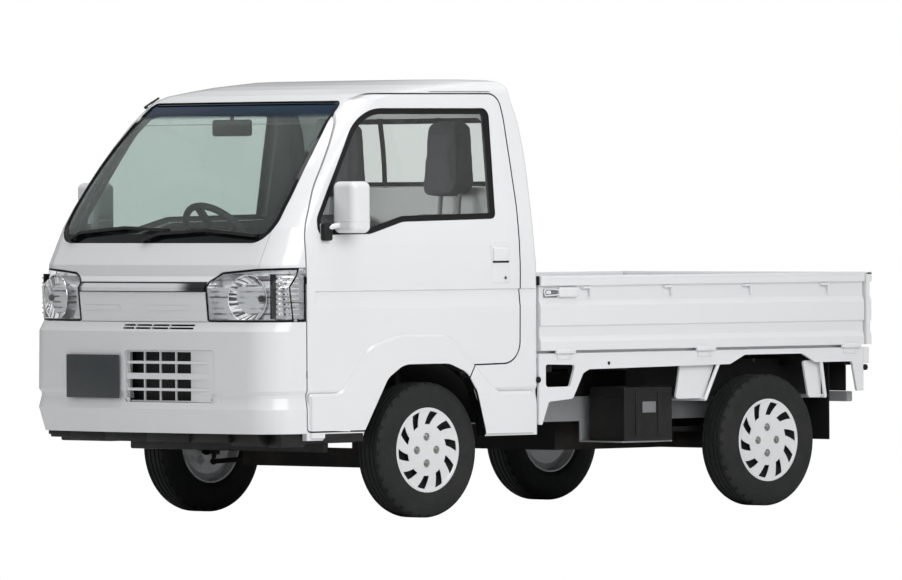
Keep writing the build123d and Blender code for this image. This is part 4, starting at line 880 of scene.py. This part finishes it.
@dataclass
class Wheels(Part):
    """Four tyres with tread, and wheel covers with slots over steel rims, with painted shade behind the
    slots.
    """

    radius: float = 0.270
    width: float = 0.1405
    rim: float = 0.1545
    face: float = 0.057
    slots: int = 10

    finishes = {f"{end}_wheel_{hand}": Paint.COVER for end in ("front", "rear") for hand in ("left", "right")}

    def details(self) -> None:
        """Build one tyre, cover, painted-shade disc and set of nuts for each wheel."""
        for end in ("front", "rear"):
            for hand, side in (("left", 1.0), ("right", -1.0)):
                body = f"{end}_wheel_{hand}"
                centre = mid(f"{end}_tyre_{hand}")
                axis = Axis.X.value * side
                tyre = self.tyre(centre, axis).place(f"{end}_tread_{hand}", Paint.TYRE, body, 26.0)
                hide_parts(f"{end}_tyre_{hand}")
                cover = self.cover(centre, axis).place(f"{end}_cover_{hand}", Paint.COVER, body)
                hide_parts(f"{end}_wheel_{hand}")
                # painted shade behind the cover's slots
                self.dark(centre, axis).place(f"{end}_slots_{hand}", Paint.SHADOW, body)
                self.bolts(centre, axis).place(f"{end}_nuts_{hand}", Paint.BOLT, body)

    def tyre(self, centre: Vector, axis: Vector) -> Form:
        """A tyre with four grooves round the tread, shoulder blocks and sidewall rings.

        Args:
            centre: Middle of the wheel.
            axis: Outward along the axle.

        Returns:
            The tyre.
        """
        r, half, bead = self.radius, self.width / 2.0, self.rim
        groove = []
        for place in (-0.036, -0.0125, 0.0125, 0.036):
            groove += [(r - 0.0005, place - 0.0032), (r - 0.008, place - 0.0022),
                       (r - 0.008, place + 0.0022), (r - 0.0005, place + 0.0032)]
        side = [(bead, 0.052), (bead + 0.006, 0.058), (bead + 0.014, 0.0625), (bead + 0.018, 0.0642),
                (bead + 0.021, 0.0640), (bead + 0.040, half - 0.0006), (bead + 0.058, half - 0.0004),
                (bead + 0.074, 0.0688), (bead + 0.0765, 0.0690), (bead + 0.080, 0.0680),
                (r - 0.022, 0.0655), (r - 0.011, 0.0605), (r - 0.003, 0.0535), (r - 0.0008, 0.0470)]
        near = [(radius, -height) for radius, height in side]
        rows = near + groove + side[::-1] + [near[0]]
        form = Form().lathe(rows, centre, axis, 96)
        return self.cut_shoulders(form, centre, axis)

    def cut_shoulders(self, form: Form, centre: Vector, axis: Vector) -> Form:
        """Press sipes into every other shoulder face of the tread."""
        low, high = self.radius - 0.013, self.radius - 0.0006
        chosen = []
        for face in form.bm.faces:
            place = face.calc_center_median() - centre
            out = (place - axis * place.dot(axis)).length
            if not low < out < high or not 0.046 < abs(place.dot(axis)) < 0.064:
                continue
            flat = place - axis * place.dot(axis)
            angle = math.atan2(flat.z, flat.y)
            if int(round((angle + math.pi) / (2.0 * math.pi) * 96.0 - 0.5)) % 3 == 0:
                chosen.append(face)
        bmesh.ops.inset_individual(form.bm, faces=chosen, thickness=0.0015, depth=-0.0035)
        return form

    def cover(self, centre: Vector, axis: Vector) -> Form:
        """Rim barrel, and a dished cover with slanting slots cut through it."""
        face = self.face
        rows = ((0.012, face + 0.0002), (0.040, face), (0.072, face - 0.0010), (0.092, face + 0.0008),
                (0.103, face + 0.0018), (0.116, face + 0.0022), (0.130, face + 0.0030),
                (0.143, face + 0.0038), (0.1555, face + 0.0048), (0.1590, face + 0.0068),
                (0.1650, face + 0.0080), (0.1690, face + 0.0066))
        columns = 12 * self.slots
        side = axis.orthogonal().normalized()
        form = Form()
        rings = []
        for radius, height in rows:
            twist = -math.radians(12.0) * min(max((radius - 0.103) / 0.0525, 0.0), 1.0)
            ring = []
            for column in range(columns):
                way = Matrix.Rotation(2.0 * math.pi * column / columns + twist, 3, axis) @ side
                ring.append(form.bm.verts.new(centre + way * radius + axis * height))
            rings.append(ring)
        for row, (near, far) in enumerate(zip(rings, rings[1:])):
            for column in range(columns):
                if 4 <= row <= 7 and column % 12 < 5:
                    continue
                after = (column + 1) % columns
                form.bm.faces.new((near[column], far[column], far[after], near[after]))
        form.bm.faces.new(rings[0])
        made = bmesh.ops.extrude_face_region(form.bm, geom=form.bm.faces[:])
        moved = [item for item in made["geom"] if isinstance(item, bmesh.types.BMVert)]
        bmesh.ops.translate(form.bm, verts=moved, vec=-axis * 0.0030)
        bmesh.ops.recalc_face_normals(form.bm, faces=form.bm.faces)
        barrel = Form().lathe([(0.1524, -0.056), (0.1524, 0.028), (0.1464, 0.028), (0.1464, 0.020),
                               (0.110, 0.014), (0.110, -0.024), (0.040, -0.024), (0.040, -0.030),
                               (0.116, -0.030), (0.1464, -0.010), (0.1464, -0.056), (0.1524, -0.056)],
                              centre, axis, 72)
        mesh = bpy.data.meshes.new("barrel")
        barrel.bm.to_mesh(mesh)
        barrel.bm.free()
        form.bm.from_mesh(mesh)
        bpy.data.meshes.remove(mesh)
        return form

    def dark(self, centre: Vector, axis: Vector) -> Form:
        """Painted shade: a near-black disc behind the slots stands for the shade inside the wheel."""
        return Form().lathe([(0.040, 0.034), (0.135, 0.036), (0.1505, 0.050), (0.1530, 0.050),
                             (0.1530, 0.030), (0.040, 0.030), (0.040, 0.034)], centre, axis, 60)

    def bolts(self, centre: Vector, axis: Vector) -> Form:
        """Four wheel nuts in round seats."""
        form = Form()
        for turn in range(4):
            way = Matrix.Rotation(math.radians(90.0 * turn), 3, axis) @ Vector((0.0, 0.0, 0.0525))
            at = centre + way + axis * (self.face - 0.0012)
            form.lathe([(0.0125, 0.0), (0.0125, 0.0024), (0.0145, 0.0030), (0.0160, 0.0018), (0.0160, 0.0)],
                       at, axis, 28)
            form.bolt(at, axis, 0.018, 0.0075)
        return form


@dataclass
class Bed(Part):
    """Drop-side bed with its latches, rope hooks, hinge tabs and lamps."""

    hooks: tuple[float, ...] = (0.090, 0.546, 0.998, 1.443)
    tabs: tuple[float, ...] = (-0.049, 0.739, 1.577)
    rail: float = 0.952

    finishes = {"load_floor": Paint.BED, "headboard": Paint.BED, "side_gate_left": Paint.BED,
                "side_gate_right": Paint.BED, "tail_gate": Paint.BED, "side_sills": Paint.BED,
                "rear_sill": Paint.BED, "gate_hinges": Paint.BED, "mud_flaps": Paint.RUBBER}

    def details(self) -> None:
        """Add the pieces on the gates and the sills."""
        self.rope_hooks()
        self.latches()
        self.hinge_tabs()
        self.corners()
        self.tail()
        self.sill_hole_shade()
        self.brackets()

    def brackets(self) -> None:
        """Tapered sheet stays below the sills, ahead of and behind the rear wheels."""
        form = Form()
        for outline in (((0.628, 0.592), (0.822, 0.592), (0.757, 0.448), (0.600, 0.448)),
                        ((1.330, 0.592), (1.434, 0.592), (1.434, 0.440), (1.362, 0.440))):
            verts = [form.bm.verts.new((0.690, y, z)) for y, z in outline]
            face = form.bm.faces.new(verts)
            made = bmesh.ops.extrude_face_region(form.bm, geom=[face])
            moved = [item for item in made["geom"] if isinstance(item, bmesh.types.BMVert)]
            bmesh.ops.translate(form.bm, verts=moved, vec=(0.010, 0.0, 0.0))
        form.both_sides()
        edges = [edge for edge in form.bm.edges if abs(edge.verts[0].co.x - edge.verts[1].co.x) > 0.005]
        bmesh.ops.bevel(form.bm, geom=edges, offset=0.012, segments=3, profile=0.5, affect="EDGES",
                        material=-1)
        form.place("arch_brackets", Paint.BED)
        # painted shade: near-black sheets under the bed stand for the shade beneath it
        under_bed_shade = Form()
        for side in (-1.0, 1.0):
            x0, x1 = sorted((side * 0.536, side * 0.544))
            under_bed_shade.slab((x0, 0.470, 0.452), (x1, 1.640, 0.600), 0.002)
        under_bed_shade.slab((-0.640, 1.634, 0.462), (0.640, 1.642, 0.600), 0.002)
        under_bed_shade.place("under_bed_shade_sheets", Paint.SHADOW)
        bar = Form().slab((-0.655, 1.632, 0.418), (0.655, 1.664, 0.460), 0.005, 3)
        bar.place("rear_bar", Paint.FRAME)
        plugs = Form()
        for y, z in ((-0.1925, 0.539), (1.6655, 0.560)):
            plugs.pin((SKIN - 0.010, y, z), (SKIN + 0.0075, y, z), 0.0125, 0.004)
        plugs.both_sides().place("sill_plugs", Paint.RUBBER)

    def rope_hooks(self) -> None:
        """Small hooks pressed out below the rail."""
        form = Form()
        for y in self.hooks:
            top = self.rail - 0.046
            form.tube([(HALF - 0.013, y - 0.040, top), (HALF - 0.001, y - 0.034, top), (HALF - 0.001, y, top),
                       (HALF - 0.001, y, top - 0.036)], 0.0045)
        on_both("rope_hooks", form, Paint.BED, "side_gate")

    def latches(self) -> None:
        """Over-centre latch at the front of each gate, with its keeper on the front post."""
        z = self.rail - 0.063
        lever = Form().slab((HALF - 0.013, -0.0835, z - 0.020), (HALF + 0.0035, 0.020, z + 0.020), 0.008, 4)
        lever.slab((HALF - 0.013, 0.010, z - 0.014), (HALF + 0.0005, 0.0335, z + 0.014), 0.006, 3)
        lever.tube([(HALF - 0.005, -0.082, z + 0.010), (HALF - 0.005, -0.155, z + 0.014),
                    (HALF - 0.005, -0.162, z), (HALF - 0.005, -0.155, z - 0.014),
                    (HALF - 0.005, -0.082, z - 0.010)], 0.003)
        lever.slab((HALF - 0.013, -0.150, z - 0.008), (HALF - 0.003, -0.124, z + 0.008), 0.003)
        on_both("gate_latch", lever, Paint.BED, "side_gate")
        # painted shade: a grey plate behind the wire stands for the shadow under the latch
        seat = Form().slab((HALF - 0.0145, -0.158, z - 0.021), (HALF - 0.0105, -0.085, z + 0.013), 0.001)
        on_both("latch_shade", seat, Paint.GREY, "side_gate")
        stop = Form().slab((SKIN - 0.030, -0.192, self.rail - 0.034),
                           (SKIN + 0.001, -0.1835, self.rail + 0.003), 0.002)
        stop.both_sides().place("gate_stops", Paint.RUBBER)

    def hinge_tabs(self) -> None:
        """Hinge leaves on the sills below each gate, with bolts."""
        form = Form()
        bolts = Form()
        for y in self.tabs:
            form.slab((HALF - 0.0105, y - 0.053, 0.642), (HALF + 0.0065, y + 0.053, 0.6605), 0.004, 3)
            form.slab((HALF - 0.0105, y - 0.040, 0.618), (HALF - 0.0065, y + 0.040, 0.645), 0.0015)
            for shift in (-0.026, 0.026):
                bolts.bolt((HALF - 0.0078, y + shift, 0.627), Axis.X.value, 0.010, 0.0026)
        form.both_sides().place("hinge_leaves", Paint.BED)
        bolts.both_sides().place("hinge_bolts", Paint.BED)

    def corners(self) -> None:
        """Cap strip along the top of each gate."""
        cap = Form().slab((HALF - 0.034, -0.178, self.rail - 0.010),
                          (HALF + 0.0008, 1.650, self.rail + 0.002), 0.003, 3)
        on_both("rail_cap", cap, Paint.BED, "side_gate")
        form = Form().slab((-HALF, TAIL - 0.034, self.rail - 0.010), (HALF, TAIL + 0.0008, self.rail + 0.002),
                           0.003, 3)
        form.place("tail_cap", Paint.BED, "tail_gate")

    def tail(self) -> None:
        """Latches at the tail gate's ends, and the plate lamp."""
        form = Form()
        for side in (-1.0, 1.0):
            x0, x1 = sorted((side * (HALF - 0.012), side * (HALF - 0.100)))
            form.slab((x0, TAIL - 0.014, self.rail - 0.082), (x1, TAIL - 0.002, self.rail - 0.056), 0.004, 3)
            form.pin((side * (HALF - 0.086), TAIL - 0.014, self.rail - 0.069),
                     (side * (HALF - 0.086), TAIL - 0.0005, self.rail - 0.069), 0.008)
        form.place("tail_latches", Paint.BED, "tail_gate")
        lamp = Form().slab((-0.045, TAIL - 0.026, 0.580), (0.045, TAIL - 0.008, 0.600), 0.004, 3)
        lamp.place("plate_lamp", Paint.BLACK)

    def sill_hole_shade(self) -> None:
        """Dark discs for the lashing holes in the bed's lower sills."""
        form = Form()
        # painted shade: thin near-black discs stand for the dark inside of the holes
        for y in (0.20, 1.02):
            form.pin((SKIN - 0.002, y, 0.600), (SKIN + 0.0012, y, 0.600), 0.0075)
        form.both_sides().place("sill_hole_shade", Paint.SHADOW)


@dataclass
class Interior(Part):
    """Dashboard, steering wheel, floor and seats."""

    puff: float = 0.010  # furthest that the cloth moves outwards
    voxel: float = 0.0055

    finishes = {"dashboard": Paint.TRIM, "steering_column": Paint.TRIM, "steering_wheel": Paint.TRIM,
                "cab_floor": Paint.MAT, "inner_mirror": Paint.BLACK}

    def details(self) -> None:
        """Add the pieces on the dashboard, then the seats."""
        self.dash()
        self.mirror()
        self.seat("seat_cushions", (-0.11, 0.11), Axis.Z.value)
        self.seat("seat_backs", (-0.10, 0.10), Axis.FRONT.value)
        posts = Form()
        for middle in (-0.305, 0.345):
            for shift in (-0.055, 0.055):
                posts.pin((middle + shift, NOSE + 1.371, 1.178), (middle + shift, NOSE + 1.385, 1.310),
                          0.0092)
        posts.place("headrest_posts", Paint.GREY)

    def dash(self) -> None:
        """Binnacle, vents, radio panel and a glovebox lid."""
        face = NOSE + 0.424
        form = Form().slab((-0.430, NOSE + 0.300, 1.048), (-0.180, face - 0.006, 1.094), 0.020, 4)
        form.slab((0.160, face - 0.020, 0.865), (0.560, face + 0.003, 0.985), 0.008, 3)
        form.slab((-0.110, face - 0.030, 0.845), (0.110, face + 0.006, 1.030), 0.010, 3)
        form.place("dash_panels", Paint.TRIM)
        dark = Form()
        for x in (-0.070, 0.070, -0.560, 0.580):
            for row in range(5):
                z = 0.965 + 0.010 * row
                dark.slab((x - 0.034, face - 0.010, z), (x + 0.034, face + 0.0085, z + 0.005), 0.001)
        dark.slab((-0.085, face, 0.868), (0.085, face + 0.0085, 0.918), 0.003)
        dark.slab((-0.415, face - 0.012, 1.054), (-0.195, face - 0.004, 1.088), 0.008)
        dark.place("dash_vents", Paint.BLACK)
        knobs = Form()
        for x in (-0.058, 0.0, 0.058):
            knobs.pin((x, face + 0.004, 0.942), (x, face + 0.022, 0.942), 0.013, 0.003)
        knobs.place("dash_knobs", Paint.GREY)

    def mirror(self) -> None:
        """Silvered face of the inner mirror."""
        low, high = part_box("inner_mirror")
        top = low[2] + 0.061
        form = Form().slab((low[0] + 0.009, high[1] - 0.006, low[2] + 0.007),
                           (high[0] - 0.009, high[1] + 0.0008, top), 0.010, 3)
        form.place("inner_mirror_glass", Paint.MIRROR)

    def seat(self, node: str, seams: tuple[float, ...], face: Vector) -> None:
        """Replace a node's two pads with sewn cloth filled by a short simulation.

        Args:
            node: The CAD node.
            seams: Places of the sewn channels, from the middle of each pad.
            face: The way that the pads' working face looks.
        """
        low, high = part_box(node)
        middles = (low[0] + 0.230, high[0] - 0.230)
        cut = Form()
        cut.bm.from_mesh(bpy.data.objects[node].data)
        bmesh.ops.remove_doubles(cut.bm, verts=cut.bm.verts, dist=0.00002)
        cut.only(((middles[0] + middles[1]) / 2.0, 0.0, 0.0), (-1.0, 0.0, 0.0))
        mesh = bpy.data.meshes.new(f"{node}_rest")
        cut.bm.to_mesh(mesh)
        cut.bm.free()
        cloth = self.inflate(mesh, middles[0], seams, face)
        form = Form()
        form.bm.from_mesh(cloth)
        verts = form.bm.verts[:]
        copy = bmesh.ops.duplicate(form.bm, geom=form.bm.verts[:] + form.bm.edges[:] + form.bm.faces[:])
        moved = [item for item in copy["geom"] if isinstance(item, bmesh.types.BMVert)]
        bmesh.ops.translate(form.bm, verts=moved, vec=(middles[1] - middles[0], 0.0, 0.0))
        made = form.place(f"{node}_cloth", Paint.CLOTH, smooth=60.0)
        LOG.info("%s: %d vertices a pad", node, len(verts))
        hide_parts(node)

    def inflate(self, mesh: bpy.types.Mesh, middle: float, seams: tuple[float, ...],
                face: Vector) -> bpy.types.Mesh:
        """Fill a closed form like a cushion, held along its seams and its underside."""
        scene = bpy.context.scene
        pad = bpy.data.objects.new("pad", mesh)
        scene.collection.objects.link(pad)
        remesh = pad.modifiers.new("remesh", "REMESH")
        remesh.mode = "VOXEL"
        remesh.voxel_size = self.voxel
        smooth = pad.modifiers.new("smooth", "SMOOTH")
        smooth.iterations = 6
        rest = bpy.data.meshes.new_from_object(pad.evaluated_get(bpy.context.evaluated_depsgraph_get()))
        pad.modifiers.clear()
        pad.data = rest
        self.simulate(pad, rest, middle, seams, face)
        bpy.data.objects.remove(pad)
        return rest

    def simulate(self, pad: bpy.types.Object, rest: bpy.types.Mesh, middle: float, seams: tuple[float, ...],
                 face: Vector) -> None:
        """Run the cloth and write its result into the rest mesh, with the movement capped."""
        normals = [vert.normal.copy() for vert in rest.vertices]
        group = pad.vertex_groups.new(name="held")
        edge = min(vert.co.dot(face) for vert in rest.vertices) + 0.015
        for vert in rest.vertices:
            on_seam = any(abs(vert.co.x - middle - seam) < 0.004 for seam in seams)
            on_seam = on_seam and normals[vert.index].dot(face) > 0.4
            if on_seam or vert.co.dot(face) < edge:
                group.add([vert.index], 1.0, "REPLACE")
        cloth = pad.modifiers.new("cloth", "CLOTH")
        settings = cloth.settings
        settings.vertex_group_mass = "held"
        settings.use_pressure = True
        settings.uniform_pressure_force = 4.0
        settings.effector_weights.gravity = 0.0
        settings.quality = 4
        settings.tension_stiffness = 12.0
        settings.compression_stiffness = 12.0
        settings.bending_stiffness = 0.6
        cloth.collision_settings.use_collision = False
        cloth.point_cache.frame_start = 1
        cloth.point_cache.frame_end = 20
        scene = bpy.context.scene
        for frame in range(1, 21):
            scene.frame_set(frame)
        moved = pad.evaluated_get(bpy.context.evaluated_depsgraph_get()).to_mesh()
        far = 0.0
        for vert, after in zip(rest.vertices, [other.co.copy() for other in moved.vertices]):
            shift = after - vert.co
            far = max(far, shift.length)
            if shift.length > self.puff:
                shift = shift.normalized() * self.puff
            on_seam = any(abs(vert.co.x - middle - seam) < 0.004 for seam in seams)
            if on_seam and normals[vert.index].dot(face) > 0.4:
                shift = shift - normals[vert.index] * 0.005
            vert.co = vert.co + shift
        scene.frame_set(1)
        LOG.info("cloth moved by up to %.1f mm", far * 1000.0)


@dataclass
class Underbody(Part):
    """Frame, axle, springs and the boxes below the bed."""

    finishes = {"frame_rails": Paint.FRAME, "crossmembers": Paint.STEEL, "bed_bearers": Paint.STEEL,
                "rear_axle": Paint.STEEL, "leaf_springs": Paint.STEEL, "front_suspension": Paint.STEEL,
                "knuckle_left": Paint.STEEL, "knuckle_right": Paint.STEEL, "engine_block": Paint.STEEL,
                "muffler": Paint.STEEL, "fuel_tank": Paint.STEEL, "battery_box": Paint.BLACK}

    def details(self) -> None:
        """Add the battery box's lid, straps and label, the muffler's bands and the arch liners."""
        low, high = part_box("battery_box")
        form = Form().slab((low[0] - 0.002, low[1] - 0.002, high[2] - 0.048),
                           (high[0] + 0.002, high[1] + 0.002, high[2] - 0.040), 0.002)
        form.slab((high[0] - 0.004, low[1] + 0.060, low[2] + 0.02),
                  (high[0] + 0.004, low[1] + 0.085, high[2] - 0.02), 0.003)
        form.slab((high[0] - 0.004, high[1] - 0.085, low[2] + 0.02),
                  (high[0] + 0.004, high[1] - 0.060, high[2] - 0.02), 0.003)
        form.place("battery_straps", Paint.BLACK)
        label = Form().slab((high[0] - 0.002, low[1] + 0.100, high[2] - 0.105),
                            (high[0] + 0.0012, low[1] + 0.175, high[2] - 0.060), 0.002)
        label.place("battery_label", Paint.GREY)
        self.muffler_bands()
        self.arch_liners()

    def arch_liners(self) -> None:
        """Dark liners in the front wheel arches."""
        centre = mid("front_tyre_left")
        form = Form()
        for side in (1.0, -1.0):
            axis = Axis.X.value * side
            inner, outer = 0.375, 0.676
            rows = [(0.318, inner), (0.318, outer), (0.321, outer), (0.321, inner - 0.003),
                    (0.060, inner - 0.003), (0.060, inner), (0.318, inner)]
            form.lathe(rows, (0.0, centre.y, centre.z + 0.036), axis, 72)
        form.only((0.0, 0.0, 0.372), (0.0, 0.0, 1.0)).place("arch_liners", Paint.SHADOW)

    def muffler_bands(self) -> None:
        """Bands and end seams round the muffler."""
        low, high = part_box("muffler")
        centre = mid("muffler")
        radius = (high[2] - low[2]) / 2.0
        form = Form()
        for x in (low[0] + 0.02, low[0] + 0.16, high[0] - 0.16, high[0] - 0.02):
            rows = [(radius - 0.001, -0.012), (radius + 0.002, -0.010), (radius + 0.002, 0.010),
                    (radius - 0.001, 0.012), (radius - 0.001, -0.012)]
            form.lathe(rows, (x, centre.y, centre.z), Axis.X.value, 40)
        form.place("muffler_bands", Paint.STEEL)


@dataclass(frozen=True)
class Lamp:
    """An area lamp that looks at the truck."""

    name: str
    at: Point
    size: float
    power: float
    aim: Point = (0.0, 0.0, 0.7)
    inside: bool = False

    def build(self) -> None:
        """Place the lamp."""
        data = bpy.data.lights.new(self.name, "AREA")
        data.shape = "RECTANGLE"
        data.size = self.size
        data.size_y = self.size * 0.6
        data.energy = self.power
        lamp = bpy.data.objects.new(self.name, data)
        way = (Vector(self.aim) - Vector(self.at)).normalized()
        if self.inside:
            lamp.visible_camera = lamp.visible_transmission = lamp.visible_glossy = False
        lamp.matrix_world = Matrix.Translation(self.at) @ (-way).to_track_quat("Z", "Y").to_matrix().to_4x4()
        bpy.context.scene.collection.objects.link(lamp)


@dataclass(frozen=True)
class Studio:
    """Camera, lamps, floor and backdrop."""

    camera_at: Vector = Vector((30.5405, -28.3181, 1.3125))
    look_at: Vector = Vector((-0.1055, 0.1058, 0.8931))
    roll_deg: float = 0.337
    lens: float = 408.0
    lamps: tuple[Lamp, ...] = (
        Lamp("side", (7.5, -1.5, 4.2), 7.0, 318.0),
        Lamp("top", (0.8, -1.6, 7.0), 5.0, 172.0),
        Lamp("front", (-1.5, -7.5, 4.4), 3.5, 14.0),
        Lamp("cab", (0.10, -1.22, 1.30), 0.5, 7.0, (0.05, -0.30, 1.10), True),
    )

    def build(self) -> None:
        """Set up the camera, the lights and the stage."""
        self.camera()
        for lamp in self.lamps:
            lamp.build()
        self.world()
        self.floor()
        bpy.context.scene.view_settings.view_transform = "Standard"

    def camera(self) -> None:
        """Place the camera at the viewing angle."""
        data = bpy.data.cameras.new("camera")
        data.lens = self.lens
        data.sensor_width = 36.0
        data.clip_end = 200.0
        back = (self.camera_at - self.look_at).normalized()
        turn = back.to_track_quat("Z", "Y").to_matrix().to_4x4()
        camera = bpy.data.objects.new("camera", data)
        roll = Matrix.Rotation(math.radians(-self.roll_deg), 4, "Z")
        camera.matrix_world = Matrix.Translation(self.camera_at) @ turn @ roll
        bpy.context.scene.collection.objects.link(camera)
        bpy.context.scene.camera = camera

    def world(self) -> None:
        """White behind the truck, with a softer, darker surround for its reflections."""
        world = bpy.data.worlds.new("studio")
        bpy.context.scene.world = world
        world.use_nodes = True
        graph = Graph(world.node_tree)
        up = graph.node("ShaderNodeSeparateXYZ", {0: graph.node("ShaderNodeTexCoord", out="Generated")}, "Z")
        tone = graph.mix(up.ramp(-0.15, 0.5), (0.16, 0.163, 0.165), (0.50, 0.508, 0.512))
        direct = graph.node("ShaderNodeLightPath", out="Is Camera Ray")
        seen = direct + graph.node("ShaderNodeLightPath", out="Is Transmission Ray")
        color = graph.mix(seen.ramp(0.0, 1.0), tone, (1.0, 1.0, 1.0))
        light = graph.node("ShaderNodeBackground", {"Color": color, "Strength": 1.0})
        graph.node("ShaderNodeOutputWorld", {"Surface": light})

    def floor(self) -> None:
        """A pale matt floor that the camera sees as plain white."""
        mesh = bpy.data.meshes.new("floor")
        bm = bmesh.new()
        bmesh.ops.create_grid(bm, x_segments=4, y_segments=4, size=30.0)
        bm.to_mesh(mesh)
        bm.free()
        floor = bpy.data.objects.new("floor", mesh)
        bpy.context.scene.collection.objects.link(floor)
        made = bpy.data.materials.new("floor")
        made.use_nodes = True
        graph = Graph(made.node_tree)
        pale = graph.mix(graph.noise(2.0, 3.0), (0.80, 0.80, 0.80), (0.77, 0.77, 0.77))
        matt = graph.node("ShaderNodeBsdfPrincipled", {"Base Color": pale, "Roughness": 0.9})
        white = graph.node("ShaderNodeEmission", {"Color": (1.0, 1.0, 1.0, 1.0), "Strength": 1.0})
        seen = graph.node("ShaderNodeLightPath", out="Is Camera Ray")
        shader = graph.node("ShaderNodeMixShader", {0: seen, 1: matt, 2: white})
        graph.node("ShaderNodeOutputMaterial", {"Surface": shader})
        mesh.materials.append(made)


def main() -> None:
    """Build the truck's looks in order."""
    logging.basicConfig(level=logging.INFO, format="%(message)s")
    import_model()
    parts: tuple[Part, ...] = (Glazing(), CabSkin(), Doors(), Lamps(), Wheels(), Bed(), Interior(),
                               Underbody())
    for part in parts:
        part.build()
        LOG.info("%s done", type(part).__name__)
    Studio().build()


if __name__ == "__main__":
    main()
